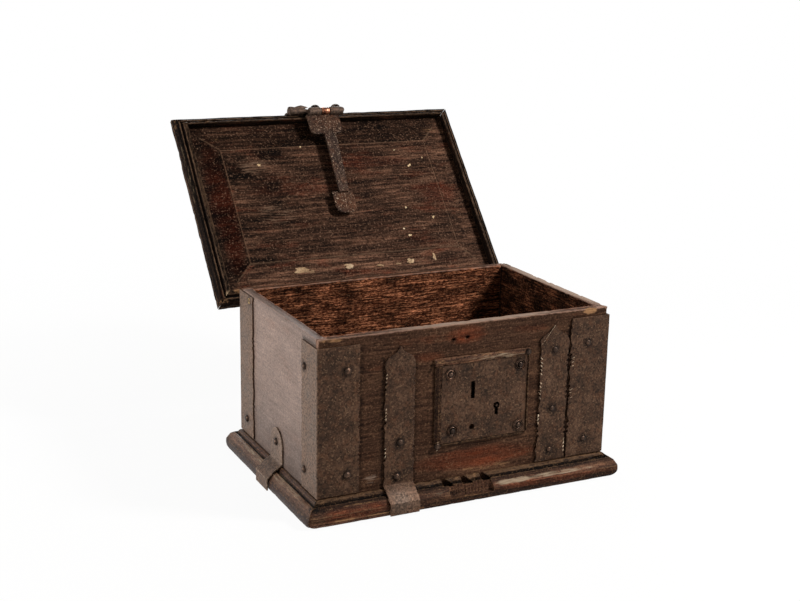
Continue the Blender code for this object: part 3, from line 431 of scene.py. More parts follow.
# Puts a finished mesh into the scene on its body, with its finish and the solids it stands for
def setPiece(name, bm, mat, body, stands=(), place=standing, sharpFrom=42):
    mesh = bpy.data.meshes.new(name)
    bm.to_mesh(mesh)
    bm.free()
    mesh.polygons.foreach_set("use_smooth", [True] * len(mesh.polygons))
    mesh.set_sharp_from_angle(angle=math.radians(sharpFrom))
    mesh.materials.append(mat)
    piece = bpy.data.objects.new(name, mesh)
    bpy.context.scene.collection.objects.link(piece)
    piece.matrix_world = place
    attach(piece, body)
    if stands:
        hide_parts(*stands)
    return piece


def carved(mesh, wedges):  # takes knife cuts and holes out of a solid; each wedge is a list of corners
    cutterMesh = bpy.data.meshes.new("cutter")
    points, faces = [], []
    for wedge in wedges:
        start, side = len(points), len(wedge) // 2
        points += [Vector(corner) * mm for corner in wedge]
        faces.append([start + i for i in reversed(range(side))])
        faces.append([start + side + i for i in range(side)])
        for i in range(side):
            j = (i + 1) % side
            faces.append([start + i, start + j, start + side + j, start + side + i])
    cutterMesh.from_pydata(points, [], faces)
    blank = bpy.data.objects.new("blank", mesh)
    cutter = bpy.data.objects.new("cutter", cutterMesh)
    for thing in (blank, cutter):
        bpy.context.scene.collection.objects.link(thing)
    cut = blank.modifiers.new("cut", "BOOLEAN")
    cut.operation, cut.solver, cut.object = "DIFFERENCE", "EXACT", cutter
    cut.use_self = True
    done = bpy.data.meshes.new_from_object(blank.evaluated_get(bpy.context.evaluated_depsgraph_get()))
    bpy.data.objects.remove(blank)
    bpy.data.objects.remove(cutter)
    return done


def middleOf(node):  # centre of a solid in mm, at rest
    low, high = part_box(node)
    return standing.inverted() @ ((low + high) / 2) / mm


nailNodes = sorted(node for node in frame["nodes"] if node.startswith("nail_"))
nailTree = kdtree.KDTree(len(nailNodes))
for number, node in enumerate(nailNodes):
    nailTree.insert(middleOf(node) * mm, number)
nailTree.balance()

# What ageing does to a piece unless its own settings say otherwise, in mm. A spot is kind, middle, size and
# strength. A groove is across which axis, where, half width, depth, along which axis, its runs, and the face
# it is cut into. A wave is across which axis, where, how far in, depth, along which axis, length, and push.
plainWork = {
    "round": 0.8, "roundAngle": 24, "cell": 4, "uneven": 0.25, "unevenMm": 30, "chip": 0, "chipMm": 12,
    "chipReach": 4, "edgeReach": 5, "edgeAngle": 24, "edgeStep": 1.5, "shortEdge": 0, "grimeAndShade": 0,
    "grimeAndShadeDark": 0.6, "grimeAndShadeFade": 3, "cutShadeTone": -0.9, "inside": False, "seed": 0, "wear": None, "waves": [],
    "spots": [], "grooves": [], "cuts": [], "tone": lambda x, y, z: 0,
    "cutDark": lambda x, y, z, normal: False,
}


def outerEdges(bm, angle):  # edges that stand out and are sharper than the angle
    limit = math.radians(angle)
    return [e for e in bm.edges if e.is_manifold and e.is_convex and e.calc_face_angle(0) > limit]


def edgeTree(bm, work):  # points along the outer edges, to tell how near one is
    points = []
    for e in outerEdges(bm, work["edgeAngle"]):
        if e.calc_length() >= work["shortEdge"] * mm:
            a, b = e.verts[0].co, e.verts[1].co
            count = max(1, int((b - a).length / (work["edgeStep"] * mm)))
            points += [a.lerp(b, i / count) for i in range(count + 1)]
    tree = kdtree.KDTree(max(1, len(points)))
    for number, point in enumerate(points):
        tree.insert(point, number)
    tree.balance()
    return tree if points else None


def cutGrid(bm, work):  # cuts across all three ways, so that the surface has points to move
    for axis in range(3):
        low = min(v.co[axis] for v in bm.verts)
        high = max(v.co[axis] for v in bm.verts)
        count = int((high - low) / (work["cell"] * mm))
        cuts = [low + (high - low) * i / count for i in range(1, count)]
        for across, at, half, *rest in work["grooves"]:
            if across == axis:
                cuts += [(at + off * half) * mm for off in (-1, 0, 1)]
        todo = list(bm.faces)
        normal = Vector((axis == xAxis, axis == yAxis, axis == zAxis))
        for cut in sorted(cuts):
            parts = set(todo)
            for f in todo:
                parts.update(f.edges)
                parts.update(f.verts)
            made = bmesh.ops.bisect_plane(bm, geom=list(parts), dist=hair, plane_co=normal * cut,
                                          plane_no=normal)
            made = [f for f in made["geom"] if isinstance(f, bmesh.types.BMFace)]
            todo = [f for f in made if f.calc_center_median()[axis] > cut]


def layMarks(v, gap, work, layers):  # edge, tone and wear marks at one point
    spot = [c / mm for c in v.co]
    v[layers["edge"]] = 1 - min(1, gap / work["edgeReach"])
    tone = work["tone"](*spot)
    # a dark ring on the irons round each nail: grime and painted shade
    if work["grimeAndShade"]:
        nailGap = nailTree.find(v.co)[2] / mm
        tone -= work["grimeAndShadeDark"] * smooth((work["grimeAndShade"] - nailGap) / work["grimeAndShadeFade"])
    v[layers["tone"]] = work["cutShadeTone"] if work["cutDark"](*spot, v.normal) else tone
    laid = {"bare": 0.0, "red": 0.0, "dust": 0.0}
    for kind, middle, size, strength in work["spots"]:
        far = sum(((c - m) / s) ** 2 for c, m, s in zip(spot, middle, size)) ** 0.5
        laid[kind] = max(laid[kind], strength * smooth(1.5 - far))
    inside = work["inside"] and all(abs(spot[i]) < hollow["half"][i] for i in (xAxis, yAxis))
    v[layers["marks"]] = (*laid.values(), float(inside and spot[zAxis] > hollow["floor"]))


def pushed(v, gap, work, shift):  # how far one point moves: hollows, chips, scored lines, wavy edges
    p = v.co
    sink = work["uneven"] * (0.5 + 0.5 * noise.noise(p / (work["unevenMm"] * mm) + shift))
    if work["chip"] and gap < work["chipReach"]:
        bite = noise.noise(p / (work["chipMm"] * mm) + shift * 2) + 0.4 * noise.noise(p / (4 * mm) + shift)
        sink += work["chip"] * smooth((bite - 0.1) / 0.5) * (1 - gap / work["chipReach"])
    for axis, at, half, deep, along, runs, (side, sign) in work["grooves"]:
        if abs(p[axis] / mm - at) < 0.1 * half and v.normal[side] * sign > 0.5:
            sink += deep * any(a < p[along] / mm < b for a, b in runs)
    move = v.normal * (-sink * mm)
    for axis, at, reach, depth, along, size, push in work["waves"]:
        off = abs(p[axis] / mm - at)
        if off < reach:
            roll = noise.noise(Vector((p[along] / (size * mm), work["seed"], at)))
            roll += 0.6 * noise.noise(Vector((p[along] / (size * 0.35 * mm), work["seed"] + 5, at)))
            move[axis] += (push + depth * roll) * mm * (1 - off / reach)
    return move


# A solid aged as its material ages: corners rounded, faces uneven, edges chipped or wavy, marks laid on
def age(node, mat, work, turned=False):
    work = dict(plainWork, **work)
    place = lidOpen if turned else standing
    source = frame["nodes"][node].data.copy()
    source.transform(place.inverted())
    if work["cuts"]:
        source = carved(source, work["cuts"])
    bm = bmesh.new()
    bm.from_mesh(source)
    bmesh.ops.remove_doubles(bm, verts=bm.verts, dist=hair)
    bmesh.ops.dissolve_limit(bm, angle_limit=math.radians(1), verts=bm.verts, edges=bm.edges)
    near = edgeTree(bm, work)
    corners = outerEdges(bm, work["roundAngle"])
    if work["round"] and corners:
        bmesh.ops.bevel(bm, geom=corners, offset=work["round"] * mm, segments=2, profile=0.5,
                        affect="EDGES", clamp_overlap=True)
    cutGrid(bm, work)
    bm.normal_update()
    shift = Vector([work["seed"] * step for step in (7.31, 3.17, 5.53)])
    layers = {key: bm.verts.layers.float.new(key) for key in ("edge", "tone")}
    layers["marks"] = bm.verts.layers.float_color.new("marks")
    moves = []
    for v in bm.verts:
        gap = near.find(v.co)[2] / mm if near else farAway
        layMarks(v, gap, work, layers)
        moves.append(pushed(v, gap, work, shift))
    for v, move in zip(bm.verts, moves):
        v.co += move
        if work["wear"]:
            v.co = work["wear"](v.co / mm) * mm
    return setPiece(node + "_aged", bm, mat, frame["nodes"][node]["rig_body"], [node], place)


# A profile of (radius, height) in mm turned round an axis, slightly out of true as hand work is
def turn(bm, profile, centre, outward, seed, wobble=0.05, sides=16, ring=False, tones=()):
    lean = Vector((0, 0, 1)).rotation_difference(Vector(outward)).to_matrix()
    rows = []
    for number, (radius, height) in enumerate(profile):
        row = []
        for i in range(1 if radius == 0 else sides):
            angle = 2 * math.pi * i / sides
            a, b = math.cos(angle), math.sin(angle)
            wide = radius * (1 + wobble * noise.noise(Vector((a * 1.7, b * 1.7, seed * 3.7 + number * 0.4))))
            high = height * (1 + wobble * 1.5 * noise.noise(Vector((angle * 1.3, number, seed * 2.3))))
            row.append(bm.verts.new((Vector(centre) + lean @ Vector((wide * a, wide * b, high))) * mm))
            if tones:
                row[-1][bm.verts.layers.float["tone"]] = tones[number]
        rows.append(row)
    pairs = list(zip(rows, rows[1:])) + ([(rows[-1], rows[0])] if ring else [])
    for above, below in pairs:
        for i in range(sides):
            j = (i + 1) % sides
            if len(above) == 1:
                bm.faces.new((above[0], below[i], below[j]))
            else:
                bm.faces.new((above[i], below[i], below[j], above[j]))
    if not ring:
        bm.faces.new(list(reversed(rows[-1])))


# Shares of radius and height, and the tone there: painted highlight on the crown and the rings, painted shade
# towards the rim and in the hollows
domeShape = [
    (0, 1, 0.7), (0.34, 0.96, 0.4), (0.62, 0.8, 0), (0.84, 0.5, -0.3), (0.97, 0.2, -0.5), (1, -0.1, -0.7),
]
rosetteShape = [
    (0, 1, 0.9), (0.26, 0.95, 0.5), (0.42, 0.5, -0.5), (0.5, 0.15, -0.85), (0.58, 0.2, -0.5), (0.68, 0.62, 4),
    (0.78, 0.2, -0.5), (0.84, 0.15, -0.7), (0.93, 0.5, 3.2), (1, 0.2, 0.2), (1.02, -0.1, -0.5),
]


# Nail heads, hammered by hand; a head is (centre, outward, radius, height)
def nailHeads(name, heads, body, stands=(), shape=domeShape, seed=0, place=standing, mat=hammeredNailIron):
    bm = bmesh.new()
    edgeLayer = bm.verts.layers.float.new("edge")
    bm.verts.layers.float.new("tone")
    tones = [tone for r, h, tone in shape]
    for number, (centre, outward, radius, height) in enumerate(heads):
        profile = [(r * radius, h * height) for r, h, tone in shape]
        turn(bm, profile, centre, outward, seed + number, tones=tones)
    for v in bm.verts:
        v[edgeLayer] = 0.4
    return setPiece(name, bm, mat, body, stands, place, 60)


# Loose flakes lying on a surface: a flake is (centre, half length, half width, height, turn in degrees)
flakeShape = {"points": 15, "sunk": 0.5, "ridge": 0.72}


def flakes(name, places, outward, mat, body, seed=0, place=standing):
    bm = bmesh.new()
    lean = Vector((0, 0, 1)).rotation_difference(Vector(outward)).to_matrix()
    count = flakeShape["points"]
    for number, (centre, long, wide, high, spin) in enumerate(places):
        spun = Matrix.Rotation(math.radians(spin), 3, "Z")
        rim, ridge = [], []
        for i in range(count):
            angle = 2 * math.pi * i / count
            a, b = math.cos(angle), math.sin(angle)
            reach = 0.75 + 0.7 * noise.noise(Vector((a * 2.1, b * 2.1, seed + number * 4.1)))
            flat = spun @ Vector((long * reach * a, wide * reach * b, 0))
            lift = high * (0.7 + 0.5 * noise.noise(Vector((angle, seed, number))))
            under, over = Vector((0, 0, -flakeShape["sunk"])), Vector((0, 0, lift))
            rim.append(bm.verts.new((Vector(centre) + lean @ (flat + under)) * mm))
            ridge.append(bm.verts.new((Vector(centre) + lean @ (flat * flakeShape["ridge"] + over)) * mm))
        for i in range(count):
            j = (i + 1) % count
            bm.faces.new((ridge[i], rim[i], rim[j], ridge[j]))
        bm.faces.new(ridge)
        bm.faces.new(list(reversed(rim)))
    bmesh.ops.recalc_face_normals(bm, faces=bm.faces)
    return setPiece(name, bm, mat, body, (), place, 35)


# Boards of the box
# x of each iron edge, how high it runs, and how dark the painted shadow along it is
ironEdges = [(-145, 210, 0.55), (-116, 190, 0.55), (-72, 190, 0.45), (99.5, 193, 0.2), (144, 200, 0.85)]
lostPlate = {  # a plate that is gone left its outline and two nail holes above the lock
    "left": -26, "right": 23, "foot": 193, "top": 218, "holes": ((-3, 202), (-22, 201)), "holeShade": 0.75}
frontShade = {
    "behind": -126, "line": 170, "overLine": 0.12, "leftStrip": -131, "underLine": 0.04, "shadowReach": 5,
    "recess": 25, "recessTop": 44, "recessLight": 0.5, "darkest": -0.9}


def frontTone(x, y, z):  # painted shade in the nail holes, worn bright over the finger recess
    if y > frontShade["behind"]:
        return 0
    over = z - frontShade["line"]  # a little darker over the scribed line, and on the strip left of the strap
    shade = -frontShade["overLine"] * smooth(over / 12) * smooth((x - 10) / 40)
    if over < 0:
        shade -= frontShade["underLine"] * smooth((70 - abs(x - frontShade["leftStrip"])) / 60)
    for at, top, edgeShadow in ironEdges:  # painted shadow along the irons
        if z < top:
            shade -= edgeShadow * smooth(1 - abs(x - at) / frontShade["shadowReach"])
    for a, b in lostPlate["holes"]:
        shade -= lostPlate["holeShade"] * smooth((6 - math.hypot(x - a, (z - b) * 1.5)) / 4)
    worn = smooth((frontShade["recessTop"] - z) / 14) * smooth((70 - abs(x - frontShade["recess"])) / 40)
    return max(shade + frontShade["recessLight"] * worn, frontShade["darkest"])


frontBoardWork = {
    "round": 1.0, "cell": 4, "uneven": 0.5, "unevenMm": 45, "chip": 1.4, "inside": True, "seed": 1,
    "edgeReach": 4, "shortEdge": 4, "tone": frontTone,
    "spots": [
        ("bare", (-180, -131, 218), (22, 8, 4), 0.6), ("bare", (174, -131, 217), (12, 8, 5), 0.95),
        ("bare", (70, -131, 220), (60, 8, 2.5), 0.45),
        ("red", (10, -131, 44), (80, 8, 13), 0.75), ("bare", (30, -131, 29), (60, 8, 5), 0.55),
        ("red", (-2, -131, 206), (24, 8, 12), 0.7), ("red", (-124, -131, 178), (14, 8, 4), 0.3),
        ("red", (-60, -131, 184), (26, 8, 6), 0.5), ("red", (60, -131, 204), (60, 8, 6), 0.2),
        ("dust", (-131, -131, 38), (12, 8, 8), 0.7), ("dust", (10, -123, 220.5), (150, 14, 1.6), 1.15),
    ],
    "grooves": [
        (zAxis, 172, 0.9, 0.9, xAxis, [(-146, -115), (-74, -50), (87, 101)], frontFace),
        (zAxis, lostPlate["foot"], 0.7, 0.5, xAxis, [(lostPlate["left"], lostPlate["right"])], frontFace),
    ] + [(xAxis, lostPlate[side], 0.7, 0.5, zAxis, [(lostPlate["foot"], lostPlate["top"])], frontFace)
         for side in ("left", "right")],
}
nailHoles = []
for x, z in lostPlate["holes"]:
    ring = [((2.2 + 0.7 * math.sin(2.4 * i)) * math.cos(i * math.pi / 4), 1.7 * math.sin(i * math.pi / 4))
            for i in range(8)]
    nailHoles.append([(x + a, depth, z + b) for depth in (-126, -134) for a, b in ring])
age("front_board", stainedOakPlaned, dict(frontBoardWork, cuts=nailHoles))
boardWork = dict(frontBoardWork, spots=[], grooves=[], seed=2)


def backTone(x, y, z):  # inside, blots and damp marks, darker towards the left
    if y > 121:
        return 0
    return max(-0.88, 0.95 * blots(x, z, (34, 13), (11, 6), (2, 5)) - 0.15 * smooth((-x - 40) / 90))


endShade = {"ironTop": (209, 214), "ironEdge": -84, "rim": 214, "rightRimRubAndHighlight": 0.7, "leftRimLessSheen": 0.35,
            "leftFootLessSheen": 0.5}


def endTone(x, y, z):  # inner faces blotted with stains and darkened as painted shade
    if abs(x) < hollow["half"][xAxis]:
        return max(-0.92, 0.6 * blots(y, z, (30, 14), (10, 6), (2, 5)) - 0.7)
    low, high = endShade["ironTop"]
    if y < endShade["ironEdge"] and low < z < high:  # painted shade in the gap over the corner iron
        return -0.7
    cloudy = 0.14 * noise.noise(Vector((y / 30, z / 30, x / 30)))
    cloudy += 0.1 * noise.noise(Vector((y / 7, z / 11, x / 9)))
    rim = smooth((z - endShade["rim"]) / 5)
    if x > 0:  # the right end's rim is lightened: rubbed, and a painted highlight
        return cloudy + endShade["rightRimRubAndHighlight"] * rim
    # on the left end the painted sheen is taken off the rim, and fades towards the bottom and along and under
    # the front iron
    cloudy -= endShade["leftRimLessSheen"] * rim + endShade["leftFootLessSheen"] * smooth((150 - z) / 140)
    return cloudy - 0.2 * smooth((y + 85) / -14)


endWork = dict(boardWork, tone=endTone)
# a painted highlight along the right end's rim, laid as a pale mark
rightRimPaintedHighlight = [("dust", (194, 0, 220.5), (14, 140, 1.6), 1.3)]
age("back_board", stainedOakPlaned, dict(boardWork, tone=backTone))
age("bottom_board", stainedOakPlaned, dict(boardWork, seed=3, cell=10, tone=backTone))
age("left_end_board", endOakPaintedSheen, dict(endWork, seed=4))
age("right_end_board", plainOakEnd, dict(endWork, seed=5, spots=rightRimPaintedHighlight))
print("boards aged")

# Mouldings round the foot and round the lid
mouldingWork = {"round": 0.7, "cell": 3.5, "uneven": 0.4, "unevenMm": 26, "chip": 0.8, "chipReach": 4,
                "chipMm": 14, "edgeReach": 3}
footWorn = {"corner": (220.2, 151.2), "round": 7, "rollHeight": 2.5, "roll": 0.022, "rollFade": 8,
            "under": 1.3, "lift": 2.6, "liftReach": 14, "liftTop": 4, "liftFade": 10}


def rubFoot(p):  # corners rubbed round in plan, the nose worn to a roll, the corners' lower edges worn up
    u, v = (abs(p[i]) - footWorn["corner"][i] + footWorn["round"] for i in (xAxis, yAxis))
    most = max(u, v)
    if most <= 0:
        return p
    under = min(footWorn["under"], footWorn["roll"] * (p.z - footWorn["rollHeight"]) ** 2)
    under *= smooth((most - footWorn["round"]) / footWorn["rollFade"] + 1)
    share = (most - under) / most
    if u > 0 and v > 0:
        share *= most / math.hypot(u, v)
    gap = math.hypot(footWorn["round"] - u, footWorn["round"] - v)
    lift = footWorn["lift"] * smooth(1 - gap / footWorn["liftReach"])
    lift *= smooth((footWorn["liftTop"] - p.z) / footWorn["liftFade"])
    x = p.x + math.copysign(1, p.x) * max(u, 0) * (share - 1)
    y = p.y + math.copysign(1, p.y) * max(v, 0) * (share - 1)
    return Vector((x, y, p.z + lift))


footShade = {"groove": (6, 9.4), "grooveFoot": 13, "mitre": (-207, -139), "nose": 10.5, "noseWide": 3.4}


def baseTone(x, y, z):  # painted shade in the hollows, painted highlight along the nose
    out = outFrom(x, y)
    if abs(x) < 28 and y < -138 and z < 17 and out < 15:  # tool marks at the back of the finger recess
        return 0.35 + 1.1 * abs((x / 4.6) % 1 - 0.5)
    inner, outer = footShade["groove"]
    if z > footShade["grooveFoot"] and inner < out < outer:  # painted shade in the groove
        return -0.9
    if abs(x - footShade["mitre"][0]) + abs(y - footShade["mitre"][1]) < 9:  # painted shade in the open mitre
        return -0.85
    if out < inner:
        return -0.5
    if abs(x) - wall[0] > abs(y) - wall[1]:  # the ends: slope lightened towards the top as painted highlight, nose darkened as painted shade
        return 0.3 * smooth((z - 9) / 5) - 0.7 * smooth((footShade["nose"] - z) / 3)
    right = x > 0  # painted highlight along the nose, stronger on the right
    ridge = math.exp(-((z - footShade["nose"]) / footShade["noseWide"]) ** 2) * (2.1 if right else 0.6)
    ridge *= 1 - 0.35 * smooth((x - 110) / 80)
    rubbed = 2.0 * smooth((-105 - x) / 10) * smooth((2 - z) / 3)  # the lower edge left of the strap
    # painted shade on the upper slope under the groove and along the lower edge
    return ridge + rubbed - 0.5 * smooth((z - 13.5) / 3) - (0.35 if right else 0.2) * smooth((4 - z) / 4)


def recessShade(x, y, z, normal):  # painted shade inside the knife cuts
    return abs(x) < 38 and -141.5 < y < -130 and z < 22.9 and (abs(normal.x) > 0.2 or z < 14.5)


footCuts = []  # three knife cuts above the finger recess, each a triangle that runs down to the right
for x in (-35, -8, 19):
    corners = ((x, 13), (x + 17, 13), (x + 2, 24.5), (x - 1, 24.5))
    footCuts.append([(a, depth, b) for depth in (-130.5, -142) for a, b in corners])
mitreGap = [(-205, -138.5), (-203, -141.5), (-213, -149)]  # the mitre has opened at the front left corner
footCuts.append([(a, b, height) for height in (14.2, 24) for a, b in mitreGap])
toolMarks = [(xAxis, x, 1.4, 1.5, zAxis, [(3, 17.5)], frontFace)
             for x in (-25, -20.5, -16, -11, -6.5, -2, 3, 7.5, 12, 16.5, 21, 25.5)]
footSpots = {
    "front": [
        ("bare", (-15, -137, 22.5), (5, 8, 2.4), 0.62), ("bare", (12, -137, 22.5), (5, 8, 2.4), 0.62),
        # the pale dust marks along the roll are a painted highlight
        ("dust", (62, -147, 11), (34, 9, 3.6), 1.05), ("dust", (130, -147, 11), (70, 9, 2.8), 0.95),
        ("dust", (-50, -147, 11), (22, 9, 3), 0.7), ("bare", (-80, -150, -2), (18, 8, 3), 0.7),
        ("bare", (-128, -151, -0.5), (20, 8, 2), 0.8), ("bare", (-172, -151, -0.5), (20, 8, 2), 0.85),
        ("bare", (-203, -146, 3), (6, 6, 3), 0.75), ("bare", (-150, -146, 14.5), (30, 4, 1.6), 0.6),
        ("bare", (-10, -151, 3), (30, 6, 1.5), 0.5),
        ("red", (-150, -150, 8), (50, 8, 8), 0.5), ("red", (120, -151, 5), (90, 6, 5), 0.5),
    ],
    "left": [
        # the pale dust mark on the slope is a painted highlight; the red marks are the wood's own colour
        ("dust", (-212, 0, 15.5), (9, 160, 4.5), 0.8), ("red", (-221, 0, 4), (6, 150, 4), 0.9),
        ("red", (-205, 0, 20), (4, 150, 6), 0.6),
    ],
}
reeds = {"upperSide": 226, "hollows": (6, 10.4, 15.2), "scored": (6, 15.2), "edge": 21}


def rimTone(x, y, z):  # the reeds: painted shade in the hollows, the rounds lightened by rubbing and a painted highlight
    if z > reeds["upperSide"]:
        return 0.9
    out = outFrom(x, y)
    gap = min(abs(out - at) for at in reeds["hollows"])
    return -0.85 * smooth(1.4 - gap) + 0.5 * smooth((gap - 1.4) / 2)


rimSpots = {
    "left": [
        ("bare", (-216, 146, 215), (8, 5, 10), 0.58), ("dust", (-207, 140, 210), (5, 8, 8), 1.1),
        ("dust", (-218, -60, 216), (4, 70, 5), 0.7), ("bare", (-219, -140, 216), (5, 12, 5), 0.55),
    ],
    "back": [("bare", (-212, 146, 215), (8, 5, 10), 0.58), ("bare", (-190, 136, 208), (12, 4, 4), 0.7)],
    "front": [
        ("bare", (-176, -138, 212), (26, 5, 6), 0.6), ("bare", (170, -138, 212), (22, 5, 6), 0.5),
        ("dust", (0, -150, 220), (220, 5, 6), 0.7),
    ],
    "right": [("dust", (214, 0, 216), (4, 120, 5), 0.6)],
}
for number, side in enumerate(("front", "back", "left", "right")):
    lengthwise = side in ("front", "back")
    oak, rimOak = (runMouldingOak, lidRimOak) if lengthwise else (runMouldingOakSidePaintedSheen, lidRimOakSide)
    foot = dict(mouldingWork, seed=10 + number, tone=baseTone, wear=rubFoot, spots=footSpots.get(side, []))
    if side == "front":
        foot.update(cuts=footCuts, cutDark=recessShade, grooves=toolMarks, cell=3)
    age("base_moulding_" + side, oak, foot)
    across, along = (yAxis, xAxis) if lengthwise else (xAxis, yAxis)
    half = wall[across]
    sign = -1 if side in ("front", "left") else 1
    rim = dict(mouldingWork, seed=20 + number, cell=3, chip=1.6, chipMm=10, tone=rimTone)
    rim["spots"] = rimSpots[side]
    rim["waves"] = [(across, sign * (half + reeds["edge"]), 6, 0.9, along, 40, 0)]
    rim["grooves"] = [(across, sign * (half + out), 0.8, 1.0, along, [(-half - 70, half + 70)], underFace)
                      for out in reeds["scored"]]
    age("lid_moulding_" + side, rimOak, rim, turned=True)

# The lid's panel
field = {"half": (162, 93), "back": 222, "arris": 0.6, "quirk": 1.5}
bevelLightAndShade = {"left": -0.66, "right": 0.1, "top": -0.58, "foot": 0.7}  # painted light and shade by the way each bevel faces, named as they lie in the picture


def panelTone(x, y, z):  # stains on the field, and painted light and shade on each bevel
    if z > field["back"]:
        return 0
    wide, deep = field["half"]
    gaps = {"left": -x - wide, "right": x - wide, "top": -y - deep, "foot": y - deep}
    nearest = max(gaps, key=gaps.get)
    most = gaps[nearest]
    stain = blots(x, y, (60, 28), (18, 7), (4, 9))
    if abs(most) < field["arris"]:  # arris rubbed and lightened as a painted highlight, then painted shade in the quirk
        return 0.7 + stain
    if field["arris"] <= most < field["quirk"]:
        return -0.75
    if most < 0:
        return max(-0.88, (0.8 + 0.5 * smooth(-x / 100)) * stain - 0.28 * smooth((-x - 20) / 120))
    return max(-0.92, bevelLightAndShade[nearest] + 0.5 * stain)


fieldLines = []  # the quirk round the raised field
for axis, at, half in ((xAxis, 163, 94), (yAxis, 94, 163)):
    for sign in (-1, 1):
        fieldLines.append((axis, sign * at, 0.9, 0.9, 1 - axis, [(-half, half)], underFace))
lidPanelWork = {
    "round": 0.5, "cell": 4, "uneven": 0.4, "unevenMm": 50, "edgeReach": 2, "edgeAngle": 4, "seed": 30,
    "tone": panelTone, "grooves": fieldLines,
    "spots": [
        ("dust", (-120, -64, 217), (30, 20, 8), 0.72), ("dust", (-104, 18, 217), (40, 24, 8), 0.7),
        ("dust", (-20, 0, 217), (60, 12, 8), 0.5), ("dust", (100, 60, 217), (70, 30, 8), 0.45),
        ("dust", (-60, 50, 217), (50, 16, 8), 0.5), ("red", (-178, 0, 220), (16, 100, 8), 1.2),
        ("red", (60, -60, 217), (70, 10, 8), 0.5), ("red", (160, 0, 217), (34, 20, 8), 0.6),
        ("red", (-60, -20, 217), (80, 10, 8), 0.5),
        ("bare", (-165, -113, 220), (20, 3, 8), 0.55), ("bare", (178, -112, 220), (18, 5, 8), 0.55),
    ],
}
age("lid_panel", lidPanelOak, lidPanelWork, turned=True)
print("mouldings and lid panel aged")


# Ironwork
def ironLegPaintedSheen(x, y, z):  # the legs on the left end are paler, a painted sheen
    return 0.25 if x < -200.2 else 0


def strapTone(x, y, z):  # the left strap is paler where it laps over the foot
    return 0.4 * smooth((30 - z) / 14)


ironWork = {"round": 0.4, "cell": 2.5, "uneven": 0.35, "unevenMm": 16, "edgeReach": 2, "grimeAndShade": 10,
            "tone": ironLegPaintedSheen, "spots": []}
# a painted sheen on the irons' legs on the left end, laid as a pale mark
leftLegPaintedSheen = [("dust", (-203, 0, 110), (1.2, 400, 400), 0.58)]
ironWaves = {
    "corner_iron_front_left": [(xAxis, -147, 6, 1.2, zAxis, 12, 0)],
    "corner_iron_front_right": [(xAxis, 147, 8, 2.6, zAxis, 9, -1.0)],
    "corner_iron_back_left": [(yAxis, 85, 7, 2.2, zAxis, 16, 0)],
    "corner_iron_back_right": [(yAxis, 85, 7, 2.2, zAxis, 16, 0)],
    "front_strap_left": [(xAxis, -114, 7, 2.6, zAxis, 11, 0), (xAxis, -74, 5, 1.2, zAxis, 16, 0)],
    "front_strap_right": [(xAxis, 101.5, 7, 2.4, zAxis, 9, 0), (xAxis, 141.5, 6, 1.6, zAxis, 10, 1.2)],
}
boxIrons = [*ironWaves, "end_strap_left", "end_strap_right", "lock_plate", "hinge_back_leaf_left",
            "hinge_back_leaf_right"]
for number, node in enumerate(boxIrons):
    work = dict(ironWork, seed=40 + number, waves=ironWaves.get(node, []), spots=leftLegPaintedSheen)
    if node == "front_strap_left":
        work.update(tone=strapTone, spots=[("dust", (-94, -145, 12), (24, 16, 16), 0.3)])
    age(node, rustedIronLap if node.startswith("end_strap") else brownedIronPlate, work)
for number, node in enumerate(("hasp_strap", "hinge_lid_leaf_left", "hinge_lid_leaf_right")):
    age(node, pittedIronHasp, dict(ironWork, seed=60 + number), turned=True)

lockFrameWork = dict(mouldingWork, cell=2.5, chip=1.2, chipMm=9, spots=[
    ("bare", (-40, -135, 176), (8, 4, 4), 0.6), ("bare", (24, -135, 178), (40, 4, 2), 0.55),
    ("dust", (40, -135, 174), (50, 4, 4), 0.8), ("bare", (-43, -135, 68), (8, 4, 6), 0.6)])
# painted light on the top bar, painted shade on the bottom and side bars
lockFrameLightAndShade = {"top": 0.9, "bottom": -0.55, "left": -0.3, "right": -0.4}
for number, (bar, shade) in enumerate(lockFrameLightAndShade.items()):
    work = dict(lockFrameWork, seed=70 + number, tone=lambda x, y, z: shade)
    age("lock_frame_" + bar, runMouldingOak, work)


def haspTone(x, y, z):  # foot and leaf darker than the arm
    return -0.42 if z < 316 else (-0.35 if z > 389 else -0.15)


haspWork = dict(ironWork, seed=80, tone=haspTone, cell=2, spots=[
    ("red", (8, 246, 302), (26, 20, 15), 0.6), ("red", (8, 335, 405), (30, 20, 16), 0.3)])
age("hasp", pittedIronHasp, haspWork)
print("ironwork aged")

# Nails: those the frame has, then those on the sides it leaves plain; sizes are (radius, height)
headSize = {"dome": (5.0, 3.4), "rosette": (7.4, 3.0), "flat": (4.0, 2.2), "leaf": (3.6, 2),
            "strap": (7.6, 5.0), "strapTop": (4.2, 2.6)}
sunkHeight = 0.4
forward, leftward, rightward, rearward, upward = (0, -1, 0), (-1, 0, 0), (1, 0, 0), (0, 1, 0), (0, 0, 1)
for number, node in enumerate(nailNodes):
    x, y, z = middleOf(node)
    rosette = node.startswith("nail_plate")
    sunk = node == "nail_back_iron_upper"
    radius, height = headSize["rosette" if rosette else "dome"]
    if x > 90:  # the right-hand ones are beaten flatter
        radius, height = headSize["flat"]
    head = ((x, frontIron, z), forward, radius, height)
    if x < -190:
        head = ((-endIron, y, z), leftward, radius, sunkHeight if sunk else height)
    shape = rosetteShape if rosette or sunk else domeShape
    nailHeads(node + "_hammered", [head], "body", [node], shape, number)
rightPlaces = ((-94.6, 179), (-94.6, 49), (104, 182), (108, 46), (0, 51))
